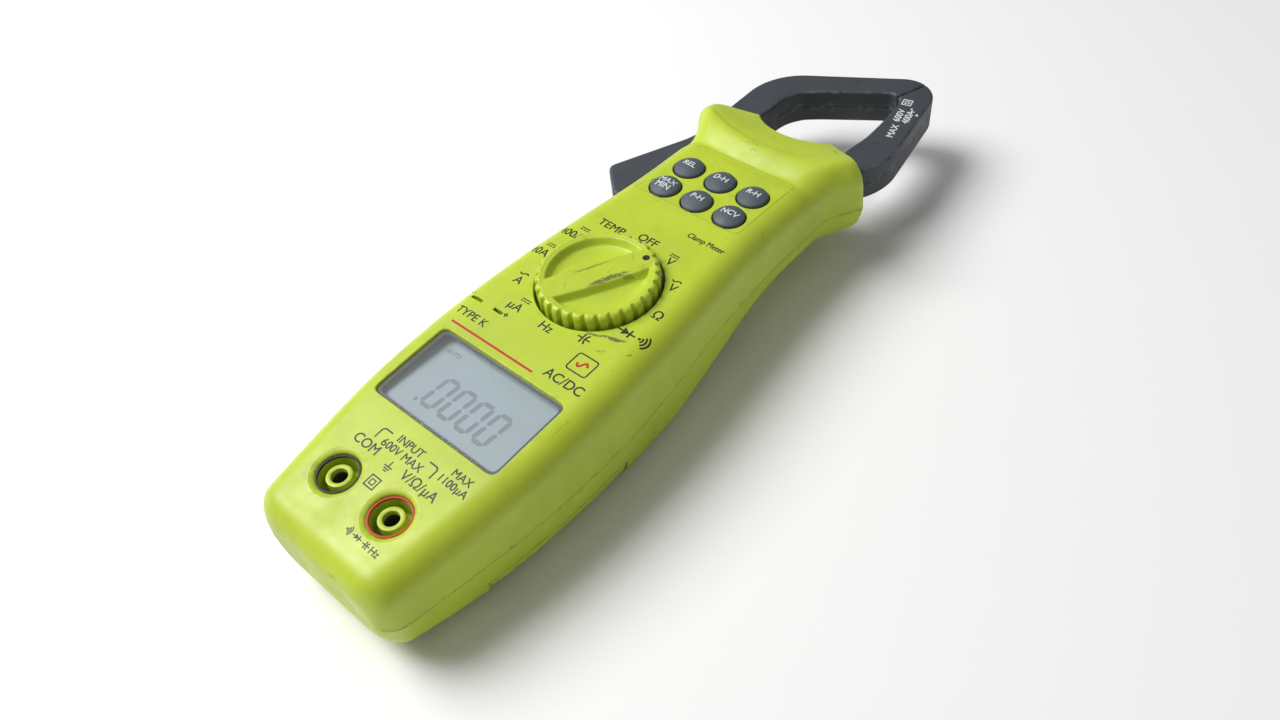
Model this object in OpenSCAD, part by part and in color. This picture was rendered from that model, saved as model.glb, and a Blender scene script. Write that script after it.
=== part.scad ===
// Hand-held clamp meter, drawn as the separate pieces it comes apart into.
// Origin: middle of the flat rear pad that it rests on. +Y runs to the jaw tip,
// +Z out of the front face, +X to the fixed jaw's side. Millimetres.

/* [Case] */
// Height of the front face's crown above the rear pad
face_height = 34; // [33:0.5:36]
// Wall thickness of both case halves
wall = 2.2; // [1.8:0.1:2.4]
// Radius of the long front edges
front_edge_r = 7.5; // [6:0.5:8]
// Radius of the long rear edges
rear_edge_r = 7; // [5:0.5:7]
// Height of the guard's front crest above the face beside it
guard_rise = 1.9; // [1:0.1:2.5]
// Depth of the guard's rear lip below the case beside it
guard_drop = 4.4; // [3:0.2:5]
// Step from the rear case in to the battery cover
cover_step = 1.1; // [0.8:0.1:1.4]

/* [Jaws] */
// Thickness of the jaws along the conductor
jaw_thick = 11; // [10:0.2:11.4]
// Thickness of the jaw shells' walls
jaw_wall = 2.2; // [1.8:0.1:2.4]
// Radius of the pivot pin
pivot_r = 3; // [2.5:0.1:3]

/* [Dial] */
// Outer radius of the range dial
dial_r = 16.5; // [15.5:0.1:16.6]
// Height of the dial's rim above the face
dial_rise = 3.5; // [2.5:0.1:4.5]
// Number of scallops round the dial's rim
scallops = 30; // [24:1:36]
// Angle of the dial's pointer from +X
pointer_angle = 60; // [0:30:330]

/* [Buttons] */
// Radius of a button
button_r = 4.4; // [4:0.1:4.5]
// Height of a button's dome above the face
button_rise = 1.7; // [1.2:0.1:2]
// Travel of a button
button_travel = 0.6; // [0.4:0.1:0.7]

/* [Sockets and display] */
// Bore radius of the test lead sockets
socket_r = 2; // [2:0.01:2.05]
// Distance between the two test lead sockets
socket_pitch = 19.05; // [19:0.05:19.1]
// Width of the display window
window_w = 43; // [40:0.5:44]
// Height of the display window
window_h = 24.2; // [22:0.2:25]

/* [Hidden] */
$fn = 48;

// Gap left between pieces that move past each other
run_gap = 0.4;
// Small overlap that keeps cuts clean
eps = 0.01;

// Case ends, and [y, value] tables that smooth() runs a curve through
side_draft = 0.7;
case_end_y = -77.5;
cavity_head_y = 84;
widths = [[-77.5, 23.8], [-60, 26.4], [-38, 29.2], [-15, 30], [14, 28.8], [38, 26.5],
    [60, 24.6], [84, 24.4]];
bottoms = [[-77.5, 4.4], [-60, 1.5], [-44, 0], [8, 0], [30, 3], [50, 7.4], [68, 9.4], [84, 9.6]];
crown_y = 23.9;
face_bow = 0.00048;
parting_low = 15.5;
parting_high = 19.5;
parting_rise_y = [-2, 32];

// Head: concave edge between two shoulders, then slopes to the guard's tips
head_end_y = 108;
crest_y = 90.5;
crest_sweep = 7;
crest_x = 25;
guard_half = 30;
head_arc_y = 117;
head_arc_r = 17;
shoulder = [13, 106.05];
slope_end = [22, 102];
tip_end = [31, 97.3];
head_dip = 5;

// Jaws
jaw_mid = parting_high;
jaw_low = jaw_mid - jaw_thick / 2;
jaw_high = jaw_mid + jaw_thick / 2;
slot_end_y = 52.2;
slot_low = jaw_low - run_gap;
slot_high = jaw_high + run_gap;
pivot = [-14, 90];
hub_r = 9.5;
arm_r = 20;
left_c = [-7.6, 120];
right_c = [7.4, 117];
tip_c = [13.6, 144.4];
tip_r = 9.3;
core_half = 3;
window_pts = [[-16.3, 96], [-16.3, 120], [-15.4, 124.2], [-12.6, 128.6], [-8, 132], [8, 142],
    [10.4, 143.3], [12.6, 143], [14.4, 141.4], [15.1, 139], [15.8, 128], [16, 120], [14.8, 112],
    [14.8, 96]];
split_low = [12.6, 142.4];
split_mid = [15.2, 149.4];
split_high = [17.6, 156];
lever_pts = [[-16, 99], [-27.6, 100], [-27.2, 92], [-39.3, 65.5], [-38.4, 64], [-30.2, 56.6],
    [-28, 56.8], [-20.5, 66], [-16, 78], [-8, 84]];

// Dial
dial_c = [0, 19.65];
dial_hole_r = dial_r + 0.65;
detents = 12;

// Buttons: columns, and rows from the jaw downwards
button_x = [-11.32, 0, 11.32];
button_y = [70.17, 59.62];

// Boards
board_low = 20.6;
board_high = 22.2;
key_low = 25.9;
key_high = 26.9;
display_y = -27.05;
socket_y = -60;
probe_slots = [[-22.1, 4.1], [-14.2, 3.2]];
probe_y = -3.2;

// Screws
case_screw_at = [[-19.3, -68.4], [19.3, -68.4], [-19.8, 45.5], [19.8, 45.5]];
board_screw_at = [[-22.4, -49.8], [22.4, -49.8], [-23.4, 6], [23.4, 6]];
key_post_at = [[-13.6, 45.8], [13.6, 45.8], [-5.7, 75], [5.7, 75]];
jaw_screw_at = [[5, 86], [16.5, 86]];
lever_screw_at = [[-31, 69], [-24.5, 81]];
cover_screw_at = [0, -12.4];
screw_r = 1.2;
screw_hole_r = 1.25;
screw_head_r = 2.5;

function lerp(a, b, t) = a + (b - a) * t;
function clamp01(t) = min(1, max(0, t));
function smoothstep(a, b, v) = let (t = clamp01((v - a) / (b - a))) t * t * (3 - 2 * t);

// Slope of a table at point i, from its neighbours, and level at an end, a crest or a flat
function rise(t, i) = (t[i + 1][1] - t[i][1]) / (t[i + 1][0] - t[i][0]);
function table_slope(t, i) =
    i == 0 ? rise(t, 0)
    : i == len(t) - 1 ? rise(t, i - 1)
    : rise(t, i - 1) * rise(t, i) <= 0 ? 0
    : (t[i + 1][1] - t[i - 1][1]) / (t[i + 1][0] - t[i - 1][0]);

// Index of the table's interval that holds y
function table_at(t, y, i = 0) = i >= len(t) - 2 || y < t[i + 1][0] ? i : table_at(t, y, i + 1);

// Cubic curve through a table's points
function smooth(t, y) =
    let (
        i = table_at(t, y),
        span = t[i + 1][0] - t[i][0],
        u = clamp01((y - t[i][0]) / span),
        a = table_slope(t, i) * span,
        b = table_slope(t, i + 1) * span
    )
    (2 * u ^ 3 - 3 * u ^ 2 + 1) * t[i][1] + (u ^ 3 - 2 * u ^ 2 + u) * a
        + (3 * u ^ 2 - 2 * u ^ 3) * t[i + 1][1] + (u ^ 3 - u ^ 2) * b;

function face_z(y) = face_height - face_bow * (y - crown_y) ^ 2;
function bottom_z(y) = smooth(bottoms, y);
function parting_z(y) =
    lerp(parting_low, parting_high, clamp01((y - parting_rise_y[0]) / (parting_rise_y[1] - parting_rise_y[0])));

// Rounding at the lower end: how far a section has pulled in, as a quarter circle of radius r
function end_pull(y, r) = let (d = clamp01((y - case_end_y) / r)) r * (1 - sqrt(1 - (1 - d) ^ 2));

// Stations along the case: [y of the section, part of the way from the crest to the head's end]
stations = [for (y = [-77.5, -76.9, -75.6, -73.8, -71.5, -66, -57, -46, -32, -16, 0, 15, 30, 44, 57, 68,
    76, 82, 86, 88.5, crest_y]) [y, 0], [crest_y, 0.1], [crest_y, 0.3], [crest_y, 0.6], [crest_y, 1]];

// Half-width of a section
function half_width(s) =
    lerp(smooth(widths, s[0]), guard_half, smoothstep(83, crest_y, s[0]))
        - end_pull(s[0], 5.5);

// Height of the roof and of the floor, at x on a section
function roof_z(s) =
    face_z(s[0]) + guard_rise * smoothstep(80, crest_y, s[0]) - head_dip * s[1] ^ 1.2 - end_pull(s[0], 6);
function floor_z(s, x) =
    bottom_z(s[0]) - guard_drop * smoothstep(82, crest_y, s[0]) * clamp01(1 - (x / 26) ^ 2)
        + head_dip * s[1] ^ 1.2 + end_pull(s[0], 5);

// A point of a section, moved along Y for the guard's sweep
function place(s, x, z) =
    let (sweep = crest_sweep * min(1, abs(x) / crest_x) ^ 2 * smoothstep(78, crest_y, s[0]))
    [x, lerp(s[0] + sweep, head_end_y, s[1]), z];

// Ring of one half of the case. side is 1 for the front half and -1 for the rear half
function half_ring(s, side, seg, mid, inset, lift) =
    let (
        a = half_width(s) - inset,
        r = max(1, (side > 0 ? front_edge_r : rear_edge_r) - inset),
        flat = a - side_draft - r,
        seam = parting_z(s[0]),
        seam_in = seam - (inset > 0 ? side : 0),
        arc = [for (i = [0:seg]) i * 90 / seg],
        skin_pts = concat(
            [for (t = arc) [-flat - r * cos(t), r * (1 - sin(t))]],
            [for (i = [1:mid]) [lerp(-flat, flat, i / (mid + 1)), 0]],
            [for (t = arc) [flat + r * sin(t), r * (1 - cos(t))]]
        )
    )
    concat(
        [place(s, -a, seam_in)],
        [for (p = skin_pts)
            let (z = (side > 0 ? roof_z(s) : floor_z(s, p[0])) + lift - side * (inset + p[1]))
            place(s, p[0], side * max(side * z, side * seam + 0.2))],
        [place(s, a, seam_in)]
    );

// Closed solid through a list of rings of equal length, with flat ends
module skin(rings, flip) {
    n = len(rings[0]);
    m = len(rings);
    quads = [for (j = [0:m - 2], i = [0:n - 1])
        let (k = (i + 1) % n, a = j * n + i, b = j * n + k, c = (j + 1) * n + k, d = (j + 1) * n + i)
        each [[a, b, c], [a, c, d]]];
    near = [for (i = [0:n - 1]) n - 1 - i];
    far = [for (i = [0:n - 1]) i + (m - 1) * n];
    all = concat(quads, [near], [far]);
    faces = flip ? all : [for (f = all) [for (i = [0:len(f) - 1]) f[len(f) - 1 - i]]];
    polyhedron(points = [for (r = rings) each r], faces = faces);
}

// Outer form of one case half, with the head cut to its plan outline
module case_outer(side) {
    difference() {
        skin([for (s = stations) half_ring(s, side, 4, 9, 0, 0)], side < 0);
        translate([0, head_arc_y, -10]) cylinder(r = head_arc_r, h = 60);
        translate([0, 0, -10]) linear_extrude(60) for (sx = [-1, 1])
            polygon([[sx * 10, 112], [sx * shoulder[0], shoulder[1]], [sx * slope_end[0], slope_end[1]],
                [sx * tip_end[0], tip_end[1]], [sx * 40, 97], [sx * 40, 112]]);
    }
}

// Form of one case half, taken in by inset
module case_inner(side, inset) {
    inner = [for (y = [case_end_y + inset, -73, -66, -50, -32, -12, 10, 32, 50, 68, cavity_head_y]) [y, 0]];
    skin([for (s = inner) half_ring(s, side, 2, 1, inset, 0)], side < 0);
}

module case_cavity(side) {
    case_inner(side, wall);
}

// What posts and ribs are trimmed to, so that they end inside the wall
module case_core(side) {
    case_inner(side, wall / 2);
}

module screw_at(points) {
    for (p = points) translate([p[0], p[1], 0]) children();
}

module rounded_rect(w, h, r) {
    translate([-w / 2 + r, -h / 2]) square([w - 2 * r, h]);
    translate([-w / 2, -h / 2 + r]) square([w, h - 2 * r]);
    for (sx = [-1, 1], sy = [-1, 1]) translate([sx * (w / 2 - r), sy * (h / 2 - r)]) circle(r);
}

// Plan of the space that the jaws and the lever need inside the head
module slot_plan() {
    difference() {
        polygon([[-45, slot_end_y], [-45, 125], [-12.4, 125], [-12.4, 102], [-6, 99], [-4, 98.2], [13.4, 98.2],
            [13.4, 125], [24.4, 125], [24.4, 97], [22, 90], [22, 78.6], [-4, 78.6], [-4, slot_end_y]]);
        translate([-6.2, 50]) square([20, 30]);
    }
}

module jaw_slot() {
    translate([0, 0, slot_low]) linear_extrude(slot_high - slot_low) slot_plan();
}

module front_case() {
    color("yellowgreen")
    difference() {
        union() {
            difference() {
                case_outer(1);
                case_cavity(1);
            }
            dial_well();
            socket_cups();
            intersection() {
                front_bosses();
                case_core(1);
            }
        }
        spring_pocket();
        jaw_slot();
        translate([dial_c[0], dial_c[1], 20]) cylinder(r = dial_hole_r, h = 20);
        translate([0, display_y, 20]) linear_extrude(20) rounded_rect(window_w, window_h, 2.2);
        translate([0, display_y, 27]) linear_extrude(2.9) rounded_rect(window_w + 4, window_h + 3.6, 1.8);
        for (x = button_x, y = button_y) translate([x, y, 28]) cylinder(r = button_r + 0.35, h = 10);
        for (side = [-1, 1]) translate([side * socket_pitch / 2, socket_y, 0]) socket_cut();
        for (p = probe_slots) translate([p[0], probe_y, 31]) cube([p[1], 0.95, 12], center = true);
        screw_at(case_screw_at) translate([0, 0, 10]) cylinder(r = screw_hole_r, h = 16.6);
        screw_at(board_screw_at) translate([0, 0, 20]) cylinder(r = screw_hole_r, h = 9);
        screw_at(jaw_screw_at) translate([0, 0, 24]) cylinder(r = screw_hole_r, h = 5.4);
        translate([pivot[0], pivot[1], 24]) cylinder(r = pivot_r + 0.05, h = 5.5);
    }
}

// Posts under the roof for the case's, the boards' and the key board's fixings
module front_bosses() {
    for (p = case_screw_at) translate([p[0], p[1], parting_z(p[1]) + 0.1]) cylinder(r = 3, h = 20);
    for (p = board_screw_at) translate([p[0], p[1], board_high]) cylinder(r = 2.4, h = 15);
    for (p = key_post_at) translate([p[0], p[1], key_low]) cylinder(r = 1.3, h = 15);
}

// Room over the slot for the return spring and its upper leg, round the pivot's boss
module spring_pocket() {
    translate([pivot[0], pivot[1], slot_high - 1])
    difference() {
        union() {
            cylinder(r = 6.4, h = 6.2);
            translate([-6.4, 0, 3]) cube([3.2, 7.6, 3.2]);
        }
        cylinder(r = 4, h = 8);
    }
}

// Ring under the face that guides the dial and holds its detent notches
module dial_well() {
    notch_r = 1.3;
    translate([dial_c[0], dial_c[1], 24])
    difference() {
        cylinder(r = 21.2, h = 8.6);
        translate([0, 0, -eps]) cylinder(r = 19.6, h = 9);
        for (i = [0:detents - 1]) rotate(i * 360 / detents)
            translate([19.6, 0, -eps]) cylinder(r = notch_r, h = 4.4);
    }
}

module socket_cups() {
    for (side = [-1, 1]) translate([side * socket_pitch / 2, socket_y, 22.6]) cylinder(r = 6.6, h = 7);
}

// What is cut away for one test lead socket, leaving the tube in its middle
module socket_cut() {
    face = face_z(socket_y);
    tube_top = face - 1.5;
    difference() {
        union() {
            translate([0, 0, face - 3]) cylinder(r = 5.55, h = 6);
            translate([0, 0, 24.2]) cylinder(r = 4.7, h = 10);
            translate([0, 0, face - 0.9]) cylinder(r1 = 5.55, r2 = 7.2, h = 1.6);
        }
        translate([0, 0, 24]) cylinder(r = 3.3, h = tube_top - 24);
    }
    translate([0, 0, 20]) cylinder(r = 2.75, h = 7.65);
    translate([0, 0, 27]) cylinder(r = socket_r, h = 8);
}

module rear_case() {
    color("yellowgreen")
    difference() {
        union() {
            difference() {
                case_outer(-1);
                case_cavity(-1);
            }
            intersection() {
                rear_ribs();
                case_core(-1);
            }
        }
        jaw_slot();
        translate([-40, -52, -5]) cube([80, 46, 5 + 8.2]);
        screw_at(case_screw_at) {
            cylinder(r = screw_hole_r + 0.2, h = 20);
            translate([0, 0, -1]) cylinder(r = screw_head_r + 0.3, h = 11);
        }
        translate([cover_screw_at[0], cover_screw_at[1], 2]) cylinder(r = screw_hole_r, h = 10);
        translate([pivot[0], pivot[1], 11]) cylinder(r = pivot_r + 0.05, h = 8);
    }
}

// Screw bosses and the battery bay's two walls
module rear_ribs() {
    for (p = case_screw_at) translate([p[0], p[1], 2]) cylinder(r = 3.4, h = parting_z(p[1]) - 2.1);
    for (y = [-48.6, -17.8]) translate([-32, y, 4]) cube([64, 1.6, parting_low - 4.4]);
    translate([cover_screw_at[0], cover_screw_at[1], 5]) cylinder(r = 3.6, h = 9);
    translate([-1, -17, 5]) cube([2, 3, 9]);
}

// Full-width door over the battery, set in from the case round it
module battery_cover() {
    door = [for (y = [-51.7, -44, -30, -18, -6.3]) [y, 0]];
    color("olivedrab")
    difference() {
        intersection() {
            skin([for (s = door) half_ring(s, -1, 4, 1, 0, cover_step)], true);
            translate([-40, -60, -1]) cube([80, 70, 8.9]);
        }
        intersection() {
            skin([for (s = door) half_ring([lerp(-53, -5, (s[0] + 51.7) / 45.4), 0], -1, 2, 1, wall, cover_step)],
                true);
            translate([-40, -60, 0]) cube([80, 70, 30]);
        }
        translate([cover_screw_at[0], cover_screw_at[1], -1]) cylinder(r = screw_hole_r + 0.2, h = 10);
        translate([cover_screw_at[0], cover_screw_at[1], -1]) cylinder(r = screw_head_r + 0.2, h = 3.05);
        translate([-25.5, -46.7, 3.2]) cube([50.2, 26.8, 10]);
    }
}

// Countersunk-free pan screw, head down at z = 0, shank of length l upwards
module pan_screw(l, head_h = 1.6) {
    difference() {
        union() {
            cylinder(r = screw_head_r, h = head_h);
            translate([0, 0, head_h - eps]) cylinder(r = screw_r, h = l);
        }
        for (a = [0, 90]) rotate(a) translate([0, 0, 0.35]) cube([2.8, 0.6, 0.8], center = true);
    }
}

module battery_cover_screw() {
    color("silver") translate([cover_screw_at[0], cover_screw_at[1], 2.02 - 1.6]) pan_screw(9);
}

module case_screws() {
    color("silver") screw_at(case_screw_at) translate([0, 0, 8.4]) pan_screw(16);
}

module board_screws() {
    color("silver") screw_at(board_screw_at) translate([0, 0, board_low - 1.6]) pan_screw(6.5);
}

module fixed_jaw_screws() {
    color("silver") screw_at(jaw_screw_at) translate([0, 0, jaw_low + 0.4]) pan_screw(13);
}

module jaw_lever_screws() {
    color("silver") screw_at(lever_screw_at) translate([0, 0, jaw_low + 0.3]) pan_screw(7);
}

// Clear window with a flange behind the case wall
module lcd_lens() {
    top = face_z(display_y) - 1.5;
    color("lightcyan") translate([0, display_y, 0]) {
        translate([0, 0, 29]) linear_extrude(top - 29)
            rounded_rect(window_w - 0.3, window_h - 0.3, 2.05);
        translate([0, 0, 28.6]) linear_extrude(1.1) rounded_rect(window_w + 3.4, window_h + 3, 1.5);
    }
}

module lcd_glass() {
    color("lightsteelblue") translate([-22.6, display_y - 13.2, 25.2]) cube([45.2, 26.4, 2.2]);
}

// Dark frame that carries the display and masks its edge
module lcd_holder() {
    color("dimgray")
    difference() {
        translate([-23.9, display_y - 14.6, board_high]) cube([47.8, 29.2, 28.2 - board_high]);
        translate([-22.8, display_y - 13.4, 25]) cube([45.6, 26.8, 2.45]);
        translate([0, display_y, 24]) linear_extrude(10) rounded_rect(40.8, 22, 1);
        for (side = [-1, 1]) translate([-21, display_y + side * 11.6 - 1.2, 20]) cube([42, 2.4, 5.1]);
        translate([-20, display_y - 9, 20]) cube([40, 18, 4.1]);
    }
}

// Elastomer connectors between the display glass and the board
module zebra_strips() {
    color("pink")
    for (side = [-1, 1]) translate([-20.5, display_y + side * 11.6 - 1, board_high]) cube([41, 2, 3]);
}

module board_plan() {
    difference() {
        polygon([[-20.5, -72.5], [20.5, -72.5], [22.7, -62], [25.1, -46], [26.2, -15], [25.2, 12], [23.6, 30],
            [22.4, 40.6], [15.8, 41.2], [15.8, 49], [-15.8, 49], [-15.8, 41.2], [-22.4, 40.6], [-23.6, 30],
            [-25.2, 12], [-26.2, -15], [-25.1, -46], [-22.7, -62]]);
        for (side = [-1, 1]) translate([side * socket_pitch / 2, socket_y]) circle(2.75);
        for (p = board_screw_at) translate(p) circle(1.4);
        for (i = [0, 1]) translate(case_screw_at[i]) circle(3.3);
        translate(dial_c) circle(2.6);
    }
}

module main_board() {
    color("darkgreen") translate([0, 0, board_low]) linear_extrude(board_high - board_low) board_plan();
}

module meter_chip() {
    color("black") {
        translate([-7, -9, board_low - 1.8]) cube([14, 14, 1.75]);
        for (i = [0:11], side = [-1, 1])
            translate([-6 + i, side > 0 ? 4.9 : -10, board_low - 0.5]) cube([0.4, 1.1, 0.45]);
    }
}

// Piezo sounder with its sound hole
module buzzer() {
    color("black") translate([14.5, -6.6, board_high])
    difference() {
        cylinder(r = 5.4, h = 4.4);
        translate([0, 0, 3]) cylinder(r = 1.1, h = 3);
    }
}

// Pin header that joins the key board to the main board
module board_header() {
    color("black") translate([-7.6, 44.4, board_high]) cube([15.2, 2.5, key_low - board_high]);
}

module key_board() {
    color("darkgreen") translate([0, 0, key_low]) linear_extrude(key_high - key_low)
    difference() {
        translate([-16.4, 42.6]) square([32.8, 33.6]);
        for (p = key_post_at) translate(p) circle(1.35);
    }
}

module tact_switches() {
    color("silver")
    for (x = button_x, y = button_y) translate([x, y, key_high]) {
        translate([-3, -3, 0]) cube([6, 6, 1.2]);
        translate([0, 0, 1.2 - eps]) cylinder(r = 1.6, h = 0.6);
    }
}

// Brass sleeve for a 4 mm plug, closed at its foot
module lead_socket(side) {
    translate([side * socket_pitch / 2, socket_y, 12])
    difference() {
        union() {
            cylinder(r = 2.7, h = 15.6);
            translate([0, 0, board_low - 12 - 1.4]) cylinder(r = 3.6, h = 1.35);
        }
        translate([0, 0, 1.4]) cylinder(r = socket_r, h = 15);
    }
}

module com_socket() {
    color("gold") lead_socket(-1);
}

module volt_socket() {
    color("gold") lead_socket(1);
}

module socket_ring(side) {
    translate([side * socket_pitch / 2, socket_y, face_z(socket_y) - 2.95])
    difference() {
        cylinder(r = 5.5, h = 2.2);
        translate([0, 0, -1]) cylinder(r = 4.7, h = 5);
    }
}

module com_ring() {
    color("black") socket_ring(-1);
}

module volt_ring() {
    color("red") socket_ring(1);
}

// Block behind the two flat slots that take a thermocouple plug
module probe_socket_block() {
    color("black")
    difference() {
        translate([-25.2, probe_y - 2.6, board_high]) cube([14.2, 5.2, 29.4 - board_high]);
        for (p = probe_slots) translate([p[0], probe_y, 28.6])
            cube([p[1] + 0.4, 2.6, 9], center = true);
    }
}

// Leaf pairs that grip the probe's two blades
module probe_contacts() {
    color("gold")
    for (p = probe_slots, side = [-1, 1])
        translate([p[0] - p[1] / 2, probe_y + side * 0.85 - 0.15, 24.2]) cube([p[1], 0.3, 6]);
}

module battery() {
    color("orangered") translate([-25.2, -46.4, 3.5]) cube([44.6, 26.2, 16.6]);
    color("silver") translate([19.4 - eps, -39.5, 11.8]) rotate([0, 90, 0]) cylinder(r = 2.9, h = 2.2);
    color("silver") translate([19.4 - eps, -26.9, 11.8]) rotate([0, 90, 0]) cylinder(r = 3.8, h = 2.2);
}

module battery_snap() {
    color("black")
    difference() {
        translate([19.9, -45.6, 6.4]) cube([4.2, 24.6, 11]);
        translate([19, -39.5, 11.8]) rotate([0, 90, 0]) cylinder(r = 3, h = 3);
        translate([19, -26.9, 11.8]) rotate([0, 90, 0]) cylinder(r = 3.9, h = 3);
    }
}

module jaw_pivot_pin() {
    color("silver") translate([pivot[0], pivot[1], 11.1]) cylinder(r = pivot_r, h = 18.2);
}

// Torsion spring round the pivot's upper boss, as a tube swept along a helix with two legs
module jaw_spring() {
    coil_r = 5.1;
    wire_r = 0.5;
    turns = 3;
    step = 20;
    sides = 8;
    start = [-170, slot_high + 0.6];
    helix = [for (a = [0:step:turns * 360])
        [coil_r * cos(a + start[0]), coil_r * sin(a + start[0]), a / 360 * 1.15]];
    last = helix[len(helix) - 1];
    path = concat([[helix[0][0] + 1.4, helix[0][1] - 8, 0]], helix, [[last[0] + 1.4, last[1] + 5.5, last[2]]]);
    color("silver") translate([pivot[0], pivot[1], start[1]])
    skin_tube(path, wire_r, sides);
}

function unit(v) = v / norm(v);

// Tube with a polygon section along a path
module skin_tube(path, r, sides) {
    n = len(path);
    rings = [for (i = [0:n - 1])
        let (
            t = unit(path[min(n - 1, i + 1)] - path[max(0, i - 1)]),
            side = unit(cross(t, [0, 0, 1])),
            up = cross(side, t)
        )
        [for (k = [0:sides - 1]) path[i] + r * (cos(k * 360 / sides) * side + sin(k * 360 / sides) * up)]];
    skin(rings, false);
}

// Plan of both jaws' ring, before it is parted
module ring_plan() {
    difference() {
        union() {
            hull() {
                translate(left_c) circle(arm_r, $fn = 96);
                translate(right_c) circle(arm_r, $fn = 96);
                translate(tip_c) circle(tip_r, $fn = 64);
            }
            translate([-27.6, 96]) square([14, 24]);
            translate([13, 96]) square([10.4, 14]);
        }
        polygon(window_pts);
        translate([-40, 80]) square([80, 17]);
        translate([-16.3, 90]) square([31.1, 20]);
    }
}

// Area on the moving jaw's side of the tip's joint, moved over by gap
module moving_side(gap) {
    polygon([[-60, 60], [0, 60], [0, 130], [split_low[0] - gap, split_low[1]], [split_mid[0] - gap, split_mid[1]],
        [split_high[0] - gap, split_high[1]], [-60, 170]]);
}

module moving_plan() {
    difference() {
        union() {
            intersection() {
                ring_plan();
                moving_side(0.15);
            }
            polygon(lever_pts);
            translate([-27.6, 96]) square([11.3, 8]);
            translate(pivot) circle(hub_r);
        }
        translate([-16.3, 100.6]) square([20, 12]);
    }
}

module fixed_plan() {
    difference() {
        union() {
            difference() {
                ring_plan();
                moving_side(-0.15);
            }
            polygon([[-5, 80.4], [19, 80.4], [21.4, 83], [21.4, 90], [23.4, 97.5], [23.4, 106], [14.8, 106],
                [14.8, 97.8], [-5, 97.8]]);
        }
        translate(pivot) circle(hub_r + run_gap);
        translate([-20, 70]) square([13, 40]);
    }
}

module moving_core_plan() {
    difference() {
        offset(delta = -jaw_wall) moving_plan();
        translate(pivot) circle(5.4);
        translate([-50, 40]) square([40, 48]);
    }
}

module fixed_core_plan() {
    difference() {
        offset(delta = -jaw_wall) fixed_plan();
        for (p = jaw_screw_at) translate(p) circle(2.9);
        translate([-10, 70]) square([11.4, 40]);
        translate([-10, 70]) square([50, 13]);
    }
}

// One shell of the moving jaw between two heights, with half of the core's channel
module moving_shell(z0, z1) {
    difference() {
        translate([0, 0, z0]) linear_extrude(z1 - z0) moving_plan();
        translate([0, 0, jaw_mid - core_half - 0.1]) linear_extrude(2 * core_half + 0.2) moving_core_plan();
        translate([pivot[0], pivot[1], 0]) cylinder(r = pivot_r + 0.08, h = 40);
        screw_at(lever_screw_at) {
            cylinder(r = screw_head_r + 0.2, h = jaw_low + 2);
            cylinder(r = screw_hole_r, h = jaw_mid + 3.4);
        }
    }
}

module moving_jaw_top() {
    color("darkslategray") moving_shell(jaw_mid, jaw_high);
}

module moving_jaw_bottom() {
    color("darkslategray") moving_shell(jaw_low, jaw_mid);
}

module moving_core() {
    color("gray") translate([0, 0, jaw_mid - core_half])
        linear_extrude(2 * core_half) moving_core_plan();
}

module fixed_shell(z0, z1) {
    difference() {
        translate([0, 0, z0]) linear_extrude(z1 - z0) fixed_plan();
        translate([0, 0, jaw_mid - core_half - 0.1]) linear_extrude(2 * core_half + 0.2) fixed_core_plan();
        translate([-2.2, 85, jaw_mid - 2.5]) cube([3.4, 7, 5]);
        screw_at(jaw_screw_at) {
            cylinder(r = screw_head_r + 0.2, h = jaw_low + 2.1);
            cylinder(r = screw_hole_r, h = 40);
        }
    }
}

module fixed_jaw_top() {
    color("darkslategray") fixed_shell(jaw_mid, jaw_high);
}

module fixed_jaw_bottom() {
    color("darkslategray") fixed_shell(jaw_low, jaw_mid);
}

module fixed_core() {
    color("gray") translate([0, 0, jaw_mid - core_half])
        linear_extrude(2 * core_half) fixed_core_plan();
}

module hall_sensor() {
    color("black") translate([-0.6, 86.4, jaw_mid - 1.6]) cube([1.5, 4.2, 3.2]);
}

// Range dial: scalloped rim, and two scooped pockets either side of a grip bar
module dial_knob() {
    top = face_height + dial_rise;
    low = 29.4;
    bar_half = 3.2;
    rim = 2.6;
    color("yellowgreen") translate([dial_c[0], dial_c[1], 0])
    difference() {
        translate([0, 0, low]) cylinder(r = dial_r, h = top - low);
        for (i = [0:scallops - 1]) rotate((i + 0.5) * 360 / scallops)
            translate([dial_r + 0.35, 0, low - 1]) cylinder(r = 0.8, h = top - low + 2, $fn = 16);
        rotate(pointer_angle) for (side = [0, 1]) mirror([0, side, 0]) translate([0, 0, top - 2.8])
            linear_extrude(5) intersection() {
                circle(dial_r - rim);
                translate([-20, bar_half]) square([40, 20]);
            }
        translate([0, 0, low - 1]) cylinder(r = 5.05, h = 4.6);
    }
}

// Rotor under the dial: carries the wipers and the detent balls
module dial_rotor() {
    color("ivory") translate([dial_c[0], dial_c[1], 0])
    difference() {
        union() {
            translate([0, 0, 23.6]) cylinder(r = 17, h = 1.4);
            translate([0, 0, 25 - eps]) cylinder(r = 18.9, h = 3);
            translate([0, 0, 28 - eps]) cylinder(r = 12, h = 1.35);
            translate([0, 0, 29]) cylinder(r = 5, h = 3.8);
        }
        rotate(pointer_angle) for (a = [0, 180]) rotate(a) translate([10, 0, 26.4]) rotate([0, 90, 0])
            cylinder(r = 1.1, h = 12);
    }
}

// Three sprung wipers that bear on the board's tracks
module wiper_contacts() {
    color("gold") translate([dial_c[0], dial_c[1], board_high + 0.1])
    for (a = [0, 120, 240]) rotate(pointer_angle + a) {
        translate([7, -1.2, 0]) cube([7, 2.4, 0.3]);
        translate([7, -1.2, 0]) cube([0.4, 2.4, 1.28]);
        translate([13.6, -1.2, 0]) cube([0.4, 2.4, 1.28]);
    }
}

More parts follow.
